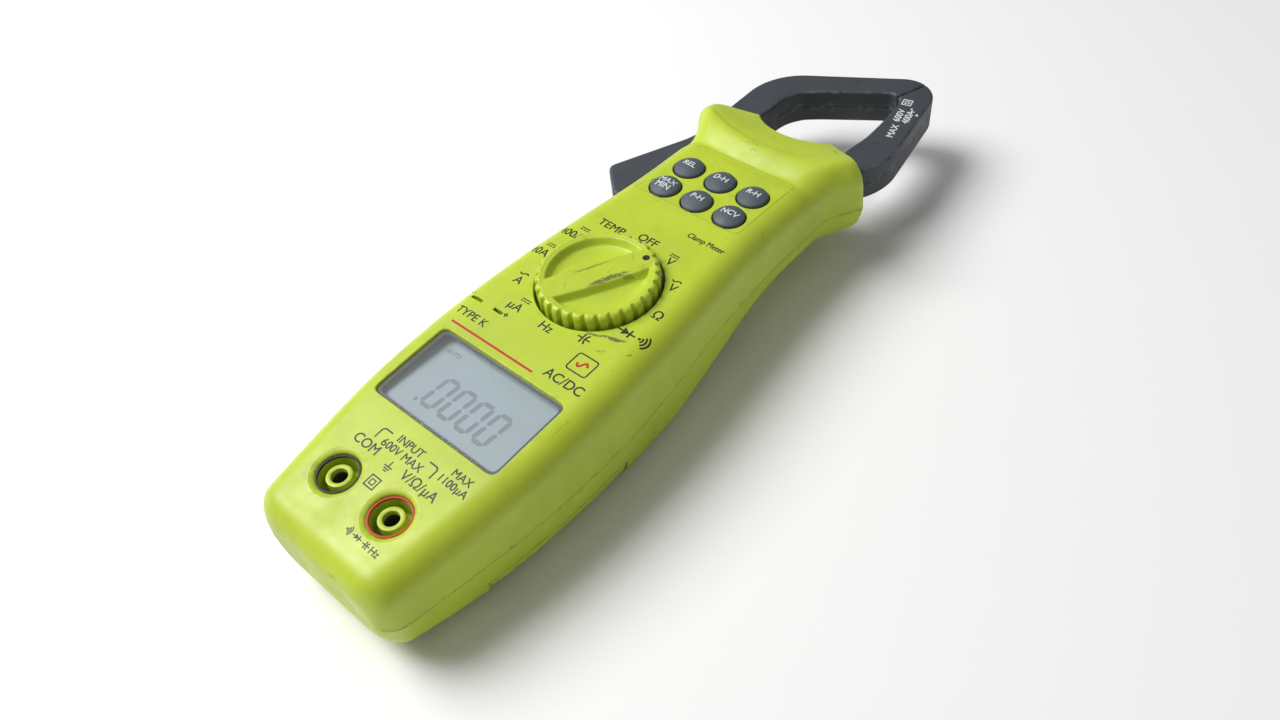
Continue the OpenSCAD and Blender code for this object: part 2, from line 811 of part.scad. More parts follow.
module detent_balls() {
    color("silver") translate([dial_c[0], dial_c[1], 26.4])
    for (a = [0, 180]) rotate(pointer_angle + a) translate([18.4, 0, 0]) sphere(1.05);
}

// Two springs behind the balls, drawn as sleeves of the coils' size
module detent_springs() {
    color("silver") translate([dial_c[0], dial_c[1], 26.4])
    for (a = [0, 180]) rotate(pointer_angle + a) translate([10.1, 0, 0]) rotate([0, 90, 0])
    difference() {
        cylinder(r = 1, h = 7.2);
        translate([0, 0, -1]) cylinder(r = 0.65, h = 10);
    }
}

// One button: domed cap, flange behind the wall, and stem over its switch
module button(column, row) {
    x = button_x[column];
    y = button_y[row];
    face = face_z(y);
    top = face + button_rise;
    dome_r = 9;
    flange_low = key_high + 1.8 + button_travel + 0.1;
    color("slategray") translate([x, y, 0]) {
        intersection() {
            translate([0, 0, flange_low + 0.4]) cylinder(r = button_r, h = 8);
            translate([0, 0, top - dome_r]) sphere(dome_r);
        }
        translate([0, 0, flange_low]) cylinder(r = 5.1, h = 1);
    }
}

module button_rel() {
    button(0, 0);
}

module button_data_hold() {
    button(1, 0);
}

module button_range_hold() {
    button(2, 0);
}

module button_max_min() {
    button(0, 1);
}

module button_peak_hold() {
    button(1, 1);
}

module button_voltage_detect() {
    button(2, 1);
}

front_case();
rear_case();
battery_cover();
battery_cover_screw();
case_screws();
lcd_lens();
lcd_glass();
lcd_holder();
zebra_strips();
main_board();
board_screws();
meter_chip();
buzzer();
board_header();
key_board();
tact_switches();
com_socket();
volt_socket();
com_ring();
volt_ring();
probe_socket_block();
probe_contacts();
battery();
battery_snap();
jaw_pivot_pin();
jaw_spring();
fixed_jaw_top();
fixed_jaw_bottom();
fixed_core();
hall_sensor();
fixed_jaw_screws();
moving_jaw_top();
moving_jaw_bottom();
moving_core();
jaw_lever_screws();
dial_knob();
dial_rotor();
wiper_contacts();
detent_balls();
detent_springs();
button_rel();
button_data_hold();
button_range_hold();
button_max_min();
button_peak_hold();
button_voltage_detect();
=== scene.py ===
"""Clamp meter: the finished look of a hand-held clamp meter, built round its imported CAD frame.

Lengths inside the shape functions are millimetres in the frame's own axes: +Y runs to the jaw tip,
+Z out of the front face. MM turns them into Blender's metres when a mesh is made."""

import math

import bmesh
import bpy
import numpy as np
from mathutils import Matrix, Vector
from mathutils.kdtree import KDTree


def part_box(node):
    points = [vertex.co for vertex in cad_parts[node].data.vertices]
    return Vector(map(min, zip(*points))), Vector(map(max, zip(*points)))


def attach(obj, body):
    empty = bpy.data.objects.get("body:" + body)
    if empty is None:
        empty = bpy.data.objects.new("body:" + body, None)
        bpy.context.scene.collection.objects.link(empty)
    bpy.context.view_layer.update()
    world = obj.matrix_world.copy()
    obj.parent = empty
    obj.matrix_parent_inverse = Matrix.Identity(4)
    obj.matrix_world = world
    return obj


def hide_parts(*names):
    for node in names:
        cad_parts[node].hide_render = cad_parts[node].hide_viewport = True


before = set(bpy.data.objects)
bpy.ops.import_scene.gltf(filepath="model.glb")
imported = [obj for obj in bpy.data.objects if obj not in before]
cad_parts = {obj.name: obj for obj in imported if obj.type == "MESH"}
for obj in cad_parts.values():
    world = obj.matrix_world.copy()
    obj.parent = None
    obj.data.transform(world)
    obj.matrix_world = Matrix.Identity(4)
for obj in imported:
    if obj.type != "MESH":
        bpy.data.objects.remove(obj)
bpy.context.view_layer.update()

bl_info = {
    "name": "Clamp meter",
    "version": (1, 0, 0),
    "blender": (4, 5, 0),
    "location": "View3D > Sidebar > Clamp meter",
    "description": "Moulded case, jaws, dial, keys, display and legends for a clamp meter frame",
    "category": "Object",
}

MM = 0.001
FILM_SINK = 0.06
DOT_ANGLE, DOT_RADIUS = 60, 13.3
CAMERA_PLACE = (147.97, -107.41, 219.20)
CAMERA_AIM = (-0.48878, 0.45504, -0.74433)
CAMERA_UP = (-0.44784, 0.60122, 0.66179)
CAMERA_LENS, CAMERA_SENSOR, CAMERA_NEAR = 29.16, 36.0, 0.01
SUN_SPREAD = 40


def node_box(node):
    """Lowest and highest corner of a CAD node, in millimetres."""
    low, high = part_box(node)
    return np.array(low) / MM, np.array(high) / MM


def node_centre(node):
    """Middle of a CAD node's box, in millimetres."""
    low, high = node_box(node)
    return (low + high) / 2


# Places read from the frame
DIAL_X, DIAL_Y = node_centre("dial_rotor")[:2]
DIAL_LOW, DIAL_TOP = (float(corner[2]) for corner in node_box("dial_knob"))
DIAL_MARK_ROOM = 0.04
DIAL_FACE = DIAL_TOP - DIAL_MARK_ROOM
DIAL_R = float((node_box("dial_knob")[1] - node_box("dial_knob")[0])[0] / 2)
JAW_LOW = float(node_box("moving_jaw_bottom")[0][2])
JAW_MID = float(node_box("moving_jaw_bottom")[1][2])
JAW_HIGH = float(node_box("moving_jaw_top")[1][2])
PIVOT = node_centre("jaw_pivot_pin")[:2]
DISPLAY_Y = float(node_centre("lcd_glass")[1])
GLASS_TOP = float(node_box("lcd_glass")[1][2])
SOCKETS = [node_centre("com_socket")[:2], node_centre("volt_socket")[:2]]
KEYS = ["rel", "data_hold", "range_hold", "max_min", "peak_hold", "voltage_detect"]
CASE_SCREWS = [(-19.3, -68.4), (19.3, -68.4), (-19.8, 45.5), (19.8, 45.5)]
LEVER_SCREWS = [(-31, 69), (-24.5, 81)]
COVER_SCREW = tuple(node_centre("battery_cover_screw")[:2])
PROBE_SLOTS = [(-22.1, 4.1), (-14.2, 3.2)]
PROBE_Y = -3.2

# Case form: the same curves as the CAD part's, drawn finely
CASE_END_Y = -77.5
WIDTHS = [(-77.5, 23.8), (-60, 26.4), (-38, 29.2), (-15, 30), (14, 28.8), (38, 26.5), (60, 24.6), (84, 24.4)]
BOTTOMS = [(-77.5, 4.4), (-60, 1.5), (-44, 0), (8, 0), (30, 3), (50, 7.4), (68, 9.4), (84, 9.6)]
FACE_HEIGHT, CROWN_Y, FACE_BOW = 34.0, 23.9, 0.00048
PARTING = (15.5, 19.5)
PARTING_Y = (-2.0, 32.0)
SIDE_DRAFT = 0.7
FRONT_EDGE_R, REAR_EDGE_R = 7.5, 7.0
WALL = 2.2
GUARD_RISE, GUARD_DROP, GUARD_HALF = 2.7, 4.4, 30.0
CREST_Y, CREST_SWEEP, CREST_X = 90.5, 7.0, 25.0
HEAD_END_Y, HEAD_DIP = 108.0, 5.0
HEAD_ARC_Y, HEAD_ARC_R = 117.0, 17.0
SHOULDER, SLOPE_END, TIP_END = (13.0, 106.05), (22.0, 102.0), (31.0, 97.3)
SLOT_LOW, SLOT_HIGH = JAW_LOW - 0.4, JAW_HIGH + 0.4
DOME_R = 9.0
CELL_TOP = GLASS_TOP + 2.3


# ---------------------------------------------------------------- case curves

def smooth(table, y):
    """Cubic curve through a table of (y, value), level where neighbouring rises differ in sign."""
    ys, vs = np.array(table, float).T
    rise = np.diff(vs) / np.diff(ys)
    slope = np.empty(len(ys))
    slope[0], slope[-1] = rise[0], rise[-1]
    slope[1:-1] = np.where(rise[:-1] * rise[1:] <= 0, 0, (vs[2:] - vs[:-2]) / (ys[2:] - ys[:-2]))
    i = np.clip(np.searchsorted(ys, y, side="right") - 1, 0, len(ys) - 2)
    span = ys[i + 1] - ys[i]
    u = np.clip((y - ys[i]) / span, 0, 1)
    return ((2 * u**3 - 3 * u**2 + 1) * vs[i] + (u**3 - 2 * u**2 + u) * slope[i] * span
            + (3 * u**2 - 2 * u**3) * vs[i + 1] + (u**3 - u**2) * slope[i + 1] * span)


def smoothstep(a, b, v):
    """0 below a, 1 above b, and between them three times the share squared less twice its cube."""
    t = np.clip((v - a) / (b - a), 0, 1)
    return t * t * (3 - 2 * t)


def face_z(y):
    """Height of the bowed front face: a parabola about the crown."""
    return FACE_HEIGHT - FACE_BOW * (y - CROWN_Y) ** 2


def parting_z(y):
    """Height of the case's parting plane: straight between its two ends and level beyond them."""
    share = np.clip((y - PARTING_Y[0]) / (PARTING_Y[1] - PARTING_Y[0]), 0, 1)
    return PARTING[0] + (PARTING[1] - PARTING[0]) * share


def end_pull(y, r):
    """Quarter-circle rounding of the case's lower end."""
    d = np.clip((y - CASE_END_Y) / r, 0, 1)
    return r * (1 - np.sqrt(1 - (1 - d) ** 2))


def half_width(y):
    """Half the case's width: the smoothed width curve, blended into the guard, less the rounded end."""
    return smooth(WIDTHS, y) + (GUARD_HALF - smooth(WIDTHS, y)) * smoothstep(83, CREST_Y, y) - end_pull(y, 5.5)


def roof_z(y, t):
    """Height of the front: the bowed face, plus the guard's rise, less a narrow bell-shaped valley, the head's
    dip and the rounded end."""
    rise = GUARD_RISE * smoothstep(81.5, 88.5, y) - 0.55 * np.exp(-(((y - 81.6) / 1.9) ** 2))
    return face_z(y) + rise - 0.5 * smoothstep(88.8, CREST_Y, y) - HEAD_DIP * t**1.2 - end_pull(y, 6)


def floor_z(y, t, x):
    """Height of the rear: the smoothed bottom curve, less the guard's lip, which fades as a parabola across the
    width, plus the head's dip and the rounded end."""
    lip = GUARD_DROP * smoothstep(82, CREST_Y, y) * np.clip(1 - (x / 26) ** 2, 0, 1)
    return smooth(BOTTOMS, y) - lip + HEAD_DIP * t**1.2 + end_pull(y, 5)


def edge_r(y, t, side):
    """Radius of the rounding between wall and face, kept clear of the parting plane."""
    depth = roof_z(y, t) - parting_z(y) if side > 0 else parting_z(y) - floor_z(y, t, 26.0)
    return np.clip(depth - 0.6, 1, FRONT_EDGE_R if side > 0 else REAR_EDGE_R)


def crest_shift(x):
    """How far the guard's crest sweeps forward at x."""
    return CREST_SWEEP * np.minimum(1, np.abs(x) / CREST_X) ** 2


def half_rows(y, t, side, arc=12, middle=44, wall_steps=6, inset=0.0, lift=0.0, groove=0.16):
    """Cross-sections of one case half: a drafted wall, a quarter circle, the roof or floor, and back.

    Each station (y, t) gives one row; t runs from the crest (0) to the head's flat end (1)."""
    y, t = np.asarray(y, float)[:, None], np.asarray(t, float)[:, None]
    a = half_width(y) - inset
    r = np.maximum(1.0, edge_r(y, t, side) - inset)
    flat = a - SIDE_DRAFT - r
    turn = np.linspace(0, math.pi / 2, arc + 1)[None]
    along = (np.arange(1, middle + 1) / (middle + 1))[None]
    x = np.hstack([-flat - r * np.cos(turn), -flat + 2 * flat * along, flat + r * np.sin(turn)])
    depth = np.hstack([r * (1 - np.sin(turn)) + 0 * a, 0 * along + 0 * a, r * (1 - np.cos(turn)) + 0 * a])
    base = roof_z(y, t) + 0 * x if side > 0 else floor_z(y, t, x)
    z = base + lift - side * (inset + depth)
    seam = parting_z(y)
    z = side * np.maximum(side * z, side * seam + 0.2)
    foot = seam - (side if inset > 0 else 0) + 0 * a
    k = np.linspace(0, 1, wall_steps + 1)[None, :-1]
    left_x, left_z = -a + k * SIDE_DRAFT, foot + k * (z[:, :1] - foot)
    right_x, right_z = a - k * SIDE_DRAFT, foot + k * (z[:, -1:] - foot)
    if inset == 0 and groove:
        left_z[:, 0] += side * groove
        right_z[:, 0] += side * groove
    xs = np.hstack([left_x, x, right_x[:, ::-1]])
    zs = np.hstack([left_z, z, right_z[:, ::-1]])
    if inset == 0 and groove:
        xs = np.hstack([-a + groove, xs, a - groove])
        zs = np.hstack([foot, zs, foot])
    ys = (y + crest_shift(xs) * smoothstep(78, CREST_Y, y)) * (1 - t) + HEAD_END_Y * t
    return np.stack([xs, ys, zs], -1)


def skin_z(x, y, side=1):
    """Height of the case's outer skin over (x, y), found by stepping back along the guard's sweep."""
    x, y = np.broadcast_arrays(np.asarray(x, float), np.asarray(y, float))
    crest = CREST_Y + crest_shift(x)
    t = np.clip((y - crest) / (HEAD_END_Y - crest), 0, 1)
    s = np.minimum(y, CREST_Y)
    for _ in range(30):
        s = 0.5 * s + 0.5 * np.minimum(y - crest_shift(x) * smoothstep(78, CREST_Y, s), CREST_Y)
    r = edge_r(s, t, side)
    over = np.clip(np.abs(x) - (half_width(s) - SIDE_DRAFT - r), 0, r)
    drop = r - np.sqrt(r * r - over * over)
    return roof_z(s, t) - drop if side > 0 else floor_z(s, t, x) + drop


# ---------------------------------------------------------------- mesh making

def grid_quads(rows, columns, close_rows=False, close_columns=False):
    """Quads that join neighbouring points of a grid, as index rows."""
    r = np.arange(rows if close_rows else rows - 1)
    c = np.arange(columns if close_columns else columns - 1)
    rr, cc = np.meshgrid(r, c, indexing="ij")
    r2, c2 = (rr + 1) % rows, (cc + 1) % columns
    quads = np.stack([rr * columns + cc, rr * columns + c2, r2 * columns + c2, r2 * columns + cc], -1)
    return quads.reshape(-1, 4)


def raw_mesh(name, points, faces):
    """A Blender mesh from millimetre points, welded and with its faces turned outwards."""
    mesh = bpy.data.meshes.new(name)
    mesh.from_pydata((np.asarray(points, float).reshape(-1, 3) * MM).tolist(), [], faces)
    tidy_mesh(mesh)
    return mesh


def positions(mesh):
    """A mesh's points as an array with one row each."""
    points = np.empty(3 * len(mesh.vertices), np.float32)
    mesh.vertices.foreach_get("co", points)
    return points.reshape(-1, 3).astype(float)


def turn_outwards(mesh):
    """Turns a closed mesh's faces outwards."""
    bm = bmesh.new()
    bm.from_mesh(mesh)
    bmesh.ops.recalc_face_normals(bm, faces=bm.faces)
    bm.to_mesh(mesh)
    bm.free()


def tidy_mesh(mesh, weld=1e-7):
    """Welds a mesh's doubled points and turns its faces outwards."""
    bm = bmesh.new()
    bm.from_mesh(mesh)
    bmesh.ops.remove_doubles(bm, verts=bm.verts, dist=weld)
    bmesh.ops.recalc_face_normals(bm, faces=bm.faces)
    bm.to_mesh(mesh)
    bm.free()


def make_object(name, mesh):
    """A new object at the origin, in the scene."""
    obj = bpy.data.objects.new(name, mesh)
    bpy.context.scene.collection.objects.link(obj)
    return obj


def loft(name, rows):
    """Closed solid through rows of points: each row is a closed loop, and the end loops are capped."""
    rows = np.asarray(rows, float)
    m, n = rows.shape[:2]
    faces = grid_quads(m, n, close_columns=True).tolist()
    faces += [list(range(n)), list(range((m - 1) * n, m * n))]
    return make_object(name, raw_mesh(name, rows, faces))


def turned_rows(profile, x, y, steps=96):
    """Rows of a surface of revolution: each (radius, height) of the profile becomes one circle."""
    profile = np.asarray(profile, float)
    angle = np.linspace(0, 2 * math.pi, steps, endpoint=False)
    ring = np.stack([np.cos(angle), np.sin(angle)], -1)
    rows = np.zeros((len(profile), steps, 3))
    rows[..., :2] = np.array([x, y]) + profile[:, None, :1] * ring[None]
    rows[..., 2] = profile[:, 1:]
    return rows


def outline_normals(outline):
    """Outward mitre at each point of a counter-clockwise closed outline, scaled so offsets keep their width."""
    edge = np.roll(outline, -1, 0) - outline
    edge /= np.maximum(np.linalg.norm(edge, axis=1, keepdims=True), 1e-9)
    out = np.stack([edge[:, 1], -edge[:, 0]], -1)
    before = np.roll(out, 1, 0)
    mitre = out + before
    mitre /= np.maximum(np.linalg.norm(mitre, axis=1, keepdims=True), 1e-9)
    return mitre / np.maximum((mitre * out).sum(1, keepdims=True), 0.45)


def inset_outline(outline, offset):
    """Outline moved out by offset, or in where it is negative; points that would cross over join the nearest
    sound one."""
    moved = outline + outline_normals(outline) * offset
    if offset < 0:
        start, side = outline[None], (np.roll(outline, -1, 0) - outline)[None]
        k = ((moved[:, None] - start) * side).sum(-1) / np.maximum((side**2).sum(-1), 1e-12)
        gap = np.linalg.norm(moved[:, None] - start - np.clip(k, 0, 1)[..., None] * side, axis=-1).min(1)
        sound = np.flatnonzero(gap > -offset * 0.97)
        apart = np.abs(np.arange(len(outline))[:, None] - sound[None])
        moved = moved[sound[np.argmin(np.minimum(apart, len(outline) - apart), 1)]]
    return moved


def prism_rows(outline, levels):
    """Rows of a plate: the outline moved out by each level's offset, at that level's height."""
    outline = np.asarray(outline, float)
    return np.stack([np.column_stack([inset_outline(outline, offset), np.full(len(outline), z)]) for offset,
                     z in levels])


def flared_rows(outline, low, fillet, side=1, steps=5):
    """Rows of a cutter whose wall opens at the case's skin in a quarter-round of radius fillet."""
    outline = np.asarray(outline, float)
    push = outline_normals(outline)
    turn = np.linspace(0, math.radians(74), steps)
    rows = [np.column_stack([outline, np.full(len(outline), low)])]
    for offset, depth in zip(fillet * (1 - np.cos(turn)), fillet * (1 - np.sin(turn))):
        p = outline + push * offset
        rows.append(np.column_stack([p, skin_z(p[:, 0], p[:, 1], side) - side * depth]))
    p = outline + push * fillet * 1.1
    rows.append(np.column_stack([p, skin_z(p[:, 0], p[:, 1], side) + side * 1.5 * fillet]))
    rows.append(np.column_stack([p, np.full(len(p), 10 + side * 40.0)]))
    return np.stack(rows)


def rounded_corners(points, radius, steps=6):
    """Closed outline with each corner replaced by a quadratic curve that starts radius away from it."""
    points = np.asarray(points, float)
    radius = np.broadcast_to(np.asarray(radius, float), (len(points),))
    before, after = np.roll(points, 1, 0) - points, np.roll(points, -1, 0) - points
    reach_a = np.minimum(radius, np.linalg.norm(before, axis=1) * 0.49)
    reach_b = np.minimum(radius, np.linalg.norm(after, axis=1) * 0.49)
    a = points + before / np.linalg.norm(before, axis=1, keepdims=True) * reach_a[:, None]
    b = points + after / np.linalg.norm(after, axis=1, keepdims=True) * reach_b[:, None]
    u = np.linspace(0, 1, steps + 1)[None, :, None]
    curve = (1 - u) ** 2 * a[:, None] + 2 * u * (1 - u) * points[:, None] + u**2 * b[:, None]
    kept = [c if r > 0 else p[None] for c, r, p in zip(curve, radius, points)]
    return np.concatenate(kept)


def circle(x, y, r, steps=96):
    """Points evenly spaced round a circle."""
    angle = np.linspace(0, 2 * math.pi, steps, endpoint=False)
    return np.stack([x + r * np.cos(angle), y + r * np.sin(angle)], -1)


def rectangle(x, y, w, h, r, steps=8):
    """A rectangle's outline about its centre, with rounded corners where r isn't 0."""
    corners = [(x - w / 2, y - h / 2), (x + w / 2, y - h / 2), (x + w / 2, y + h / 2), (x - w / 2, y + h / 2)]
    return rounded_corners(corners, r, steps) if r else np.array(corners)


def spaced(outline, step):
    """The same closed outline with extra points, so that no side is longer than step."""
    parts = []
    for p, q in zip(outline, np.roll(outline, -1, 0)):
        count = max(1, int(np.ceil(np.linalg.norm(q - p) / step)))
        parts.append(p + (q - p) * np.linspace(0, 1, count, endpoint=False)[:, None])
    return np.concatenate(parts)


def joined(name, objects):
    """One object from several that don't touch."""
    bm = bmesh.new()
    for obj in objects:
        bm.from_mesh(obj.data)
        bpy.data.objects.remove(obj)
    mesh = bpy.data.meshes.new(name)
    bm.to_mesh(mesh)
    bm.free()
    return make_object(name, mesh)


def carve(obj, steps):
    """Applies a list of (operation, tool object) to obj, and removes the tools."""
    for operation, tool in steps:
        change = obj.modifiers.new(tool.name, "BOOLEAN")
        change.operation, change.object, change.solver = operation, tool, "EXACT"
        bake_modifiers(obj)
        bpy.data.objects.remove(tool)


def bake_modifiers(obj):
    """Gives an object the mesh that its modifiers make, and removes them."""
    graph = bpy.context.evaluated_depsgraph_get()
    mesh = bpy.data.meshes.new_from_object(obj.evaluated_get(graph))
    obj.modifiers.clear()
    obj.data = mesh


def finish_piece(obj, body, replaces=(), sharp=34, reach=0.9, weld=2e-6):
    """Welds, smooths and marks a piece's edges, then gives it its body and hides the nodes it stands for."""
    bm = bmesh.new()
    bm.from_mesh(obj.data)
    bmesh.ops.remove_doubles(bm, verts=bm.verts, dist=weld)
    bmesh.ops.dissolve_degenerate(bm, dist=weld, edges=bm.edges)
    loose = [v for v in bm.verts if not v.link_faces]
    bmesh.ops.delete(bm, geom=loose, context="VERTS")
    tree, folded = KDTree(len(bm.verts)), False
    for v in bm.verts:
        turn = max((e.calc_face_angle_signed(0.0) for e in v.link_edges if len(e.link_faces) == 2), default=0)
        if turn > math.radians(15):
            tree.insert(v.co, v.index)
            folded = True
    tree.balance()
    near = np.ones(len(bm.verts))
    if folded:
        near = np.array([tree.find(v.co)[2] / MM for v in bm.verts])
    bm.to_mesh(obj.data)
    bm.free()
    mark = obj.data.attributes.new("rubbed_edge", "FLOAT", "POINT")
    mark.data.foreach_set("value", np.exp(-near / reach).astype(np.float32) if folded else 0 * near)
    obj.data.shade_smooth()
    obj.data.set_sharp_from_angle(angle=math.radians(sharp))
    weigh = obj.modifiers.new("weighted_normals", "WEIGHTED_NORMAL")
    weigh.keep_sharp = True
    bake_modifiers(obj)
    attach(obj, body)
    if replaces:
        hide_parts(*replaces)
    return obj


def paint(obj, material):
    """Makes a material an object's only one."""
    obj.data.materials.clear()
    obj.data.materials.append(material)


# ---------------------------------------------------------------- shader building

def put(tree, kind, inputs=(), **settings):
    """Adds a node. inputs pairs a socket's name or place with a value or with another node's output."""
    node = tree.nodes.new(kind)
    for key, value in settings.items():
        setattr(node, key, value)
    for key, value in dict(inputs).items():
        if isinstance(value, bpy.types.NodeSocket):
            tree.links.new(value, node.inputs[key])
        else:
            node.inputs[key].default_value = value
    return node


def maths(tree, operation, a, b=0.0, clamp=False):
    """A Math node's result."""
    return put(tree, "ShaderNodeMath", {0: a, 1: b}, operation=operation, use_clamp=clamp).outputs[0]


def vector_maths(tree, operation, a, b=(0, 0, 0)):
    """A Vector Math node."""
    return put(tree, "ShaderNodeVectorMath", {0: a, 1: b}, operation=operation)


def noise(tree, vector, scale, detail=3.0, roughness=0.6):
    """A Noise Texture's value."""
    inputs = {"Vector": vector, "Scale": scale, "Detail": detail, "Roughness": roughness}
    return put(tree, "ShaderNodeTexNoise", inputs).outputs["Fac"]


def ramp(tree, value, low, high, clamp=True):
    """Linear remap of value from low..high to 0..1."""
    inputs = {"Value": value, "From Min": low, "From Max": high}
    return put(tree, "ShaderNodeMapRange", inputs, clamp=clamp).outputs["Result"]


def blend_colour(tree, factor, a, b, mode="MIX"):
    """Colour a blended into colour b by a factor."""
    node = put(tree, "ShaderNodeMix", {0: factor, 6: a, 7: b}, data_type="RGBA", blend_type=mode)
    return node.outputs[2]


def new_group(name, inputs, outputs):
    """An empty shader group with its inputs and outputs: the tree and its inner sockets."""
    tree = bpy.data.node_groups.new(name, "ShaderNodeTree")
    for label, kind, value in inputs:
        socket = tree.interface.new_socket(label, in_out="INPUT", socket_type=kind)
        if value is not None:
            socket.default_value = value
    for label, kind in outputs:
        tree.interface.new_socket(label, in_out="OUTPUT", socket_type=kind)
    return tree, tree.nodes.new("NodeGroupInput").outputs, tree.nodes.new("NodeGroupOutput").inputs


FLOAT, VECTOR = "NodeSocketFloat", "NodeSocketVector"


def grain_group():
    """Spark-eroded mould texture: two sizes of noise give a height and a small change of roughness."""
    tree, given, result = new_group(
        "mould_grain",
        [("Vector", VECTOR, None), ("Grain per mm", FLOAT, 3.0), ("Unevenness", FLOAT, 0.5)],
        [("Height", FLOAT), ("Roughness shift", FLOAT)])
    scale = maths(tree, "MULTIPLY", given["Grain per mm"], 1 / MM)
    fine = noise(tree, given["Vector"], scale, 2.0)
    broad = noise(tree, given["Vector"], maths(tree, "MULTIPLY", scale, 0.04), 3.0)
    shift = maths(tree, "MULTIPLY", maths(tree, "SUBTRACT", broad, 0.5), given["Unevenness"])
    tree.links.new(maths(tree, "ADD", fine, maths(tree, "MULTIPLY", broad, 0.4)), result["Height"])
    tree.links.new(shift, result["Roughness shift"])
    return tree


def edge_wear_group():
    """Rubbed edges: the piece's own edge mark, broken up by noise into patches."""
    tree, given, result = new_group(
        "edge_wear",
        [("Vector", VECTOR, None), ("Edge", FLOAT, 0.0), ("Amount", FLOAT, 0.5), ("Patch size mm", FLOAT, 4.0)],
        [("Mask", FLOAT)])
    scale = maths(tree, "DIVIDE", 1 / MM, given["Patch size mm"])
    patches = noise(tree, given["Vector"], scale, 5.0, 0.75)
    sum_ = maths(tree, "ADD", given["Edge"], patches)
    low = maths(tree, "SUBTRACT", 1.55, maths(tree, "MULTIPLY", given["Amount"], 0.5))
    high = maths(tree, "ADD", low, 0.2)
    tree.links.new(ramp(tree, sum_, low, high), result["Mask"])
    return tree


def grime_group():
    """Handling dirt: wide soft clouds with small dark specks."""
    tree, given, result = new_group(
        "handling_grime",
        [("Vector", VECTOR, None), ("Cloud size mm", FLOAT, 18.0), ("Speck size mm", FLOAT, 1.4),
         ("Amount", FLOAT, 0.5)],
        [("Cloud", FLOAT), ("Speck", FLOAT)])
    cloud = noise(tree, given["Vector"], maths(tree, "DIVIDE", 1 / MM, given["Cloud size mm"]), 6.0, 0.6)
    speck = noise(tree, given["Vector"], maths(tree, "DIVIDE", 1 / MM, given["Speck size mm"]), 1.0, 0.4)
    rare = noise(tree, given["Vector"], maths(tree, "DIVIDE", 0.11 / MM, given["Speck size mm"]), 2.0, 0.5)
    patch = maths(tree, "MULTIPLY", ramp(tree, cloud, 0.45, 0.75), given["Amount"])
    dots = maths(tree, "MULTIPLY", ramp(tree, speck, 0.735, 0.76), ramp(tree, rare, 0.5, 0.62))
    tree.links.new(patch, result["Cloud"])
    tree.links.new(maths(tree, "MULTIPLY", dots, given["Amount"]), result["Speck"])
    return tree


def scuff_group():
    """One rubbed mark: a soft ellipse about a centre, turned by an angle, bent, and broken up along its length."""
    tree, given, result = new_group(
        "scuff_mark",
        [("Vector", VECTOR, None), ("Centre mm", VECTOR, None), ("Angle", FLOAT, 0.0), ("Length mm", FLOAT, 5.0),
         ("Width mm", FLOAT, 0.6), ("Bend", FLOAT, 0.0), ("Strength", FLOAT, 1.0)],
        [("Mask", FLOAT)])
    place = vector_maths(tree, "SCALE", given["Vector"])
    place.inputs["Scale"].default_value = 1 / MM
    off = vector_maths(tree, "SUBTRACT", place.outputs[0], given["Centre mm"]).outputs[0]
    turned = put(tree, "ShaderNodeVectorRotate", {"Vector": off,
                                                  "Angle": maths(tree, "MULTIPLY", given["Angle"], -1.0)},
                 rotation_type="Z_AXIS").outputs[0]
    xyz = put(tree, "ShaderNodeSeparateXYZ", {0: turned}).outputs
    u = maths(tree, "DIVIDE", xyz[0], maths(tree, "MULTIPLY", given["Length mm"], 0.5))
    bow = maths(tree, "MULTIPLY", maths(tree, "MULTIPLY", u, u), given["Bend"])
    wobble = maths(tree, "MULTIPLY", maths(tree, "SUBTRACT", noise(tree, given["Vector"], 900.0, 2.0), 0.5), 1.2)
    v = maths(tree, "ADD", maths(tree, "SUBTRACT", xyz[1], bow), wobble)
    w = maths(tree, "DIVIDE", v, maths(tree, "MULTIPLY", given["Width mm"], 0.5))
    radius = maths(tree, "ADD", maths(tree, "MULTIPLY", u, u), maths(tree, "MULTIPLY", w, w))
    deep = ramp(tree, maths(tree, "ABSOLUTE", xyz[2]), 4.0, 3.0)
    body = maths(tree, "MULTIPLY", ramp(tree, radius, 1.25, 0.55), deep)
    torn = ramp(tree, noise(tree, given["Vector"], 1600.0, 4.0, 0.7), 0.3, 0.48)
    tree.links.new(maths(tree, "MULTIPLY", maths(tree, "MULTIPLY", body, torn), given["Strength"]), result["Mask"])
    return tree


GROUPS = {}


def use_group(tree, name, inputs):
    """A shader group placed in a material with its own values, built the first time it is asked for."""
    if name not in GROUPS:
        GROUPS[name] = {"grain": grain_group, "edge": edge_wear_group, "grime": grime_group,
                        "scuff": scuff_group}[name]()
    node = put(tree, "ShaderNodeGroup", node_tree=GROUPS[name])
    for key, value in inputs.items():
        if isinstance(value, bpy.types.NodeSocket):
            tree.links.new(value, node.inputs[key])
        else:
            node.inputs[key].default_value = value
    return node.outputs


def linear(srgb):
    """Linear colour, with alpha 1, from three display values of 0 to 255."""
    c = np.array(srgb, float) / 255
    lin = np.where(c <= 0.04045, c / 12.92, ((c + 0.055) / 1.055) ** 2.4)
    return (*[float(v) for v in lin], 1.0)


def start_material(name, roughness, metallic=0.0, **settings):
    """Material with a Principled shader; returns it, its tree, its shader's inputs and object coordinates."""
    material = bpy.data.materials.new(name)
    material.use_nodes = True
    tree = material.node_tree
    tree.nodes.clear()
    shader = put(tree, "ShaderNodeBsdfPrincipled", {"Roughness": roughness, "Metallic": metallic, **settings})
    out = tree.nodes.new("ShaderNodeOutputMaterial")
    tree.links.new(shader.outputs[0], out.inputs[0])
    coords = tree.nodes.new("ShaderNodeTexCoord").outputs["Object"]
    return material, tree, shader.inputs, coords


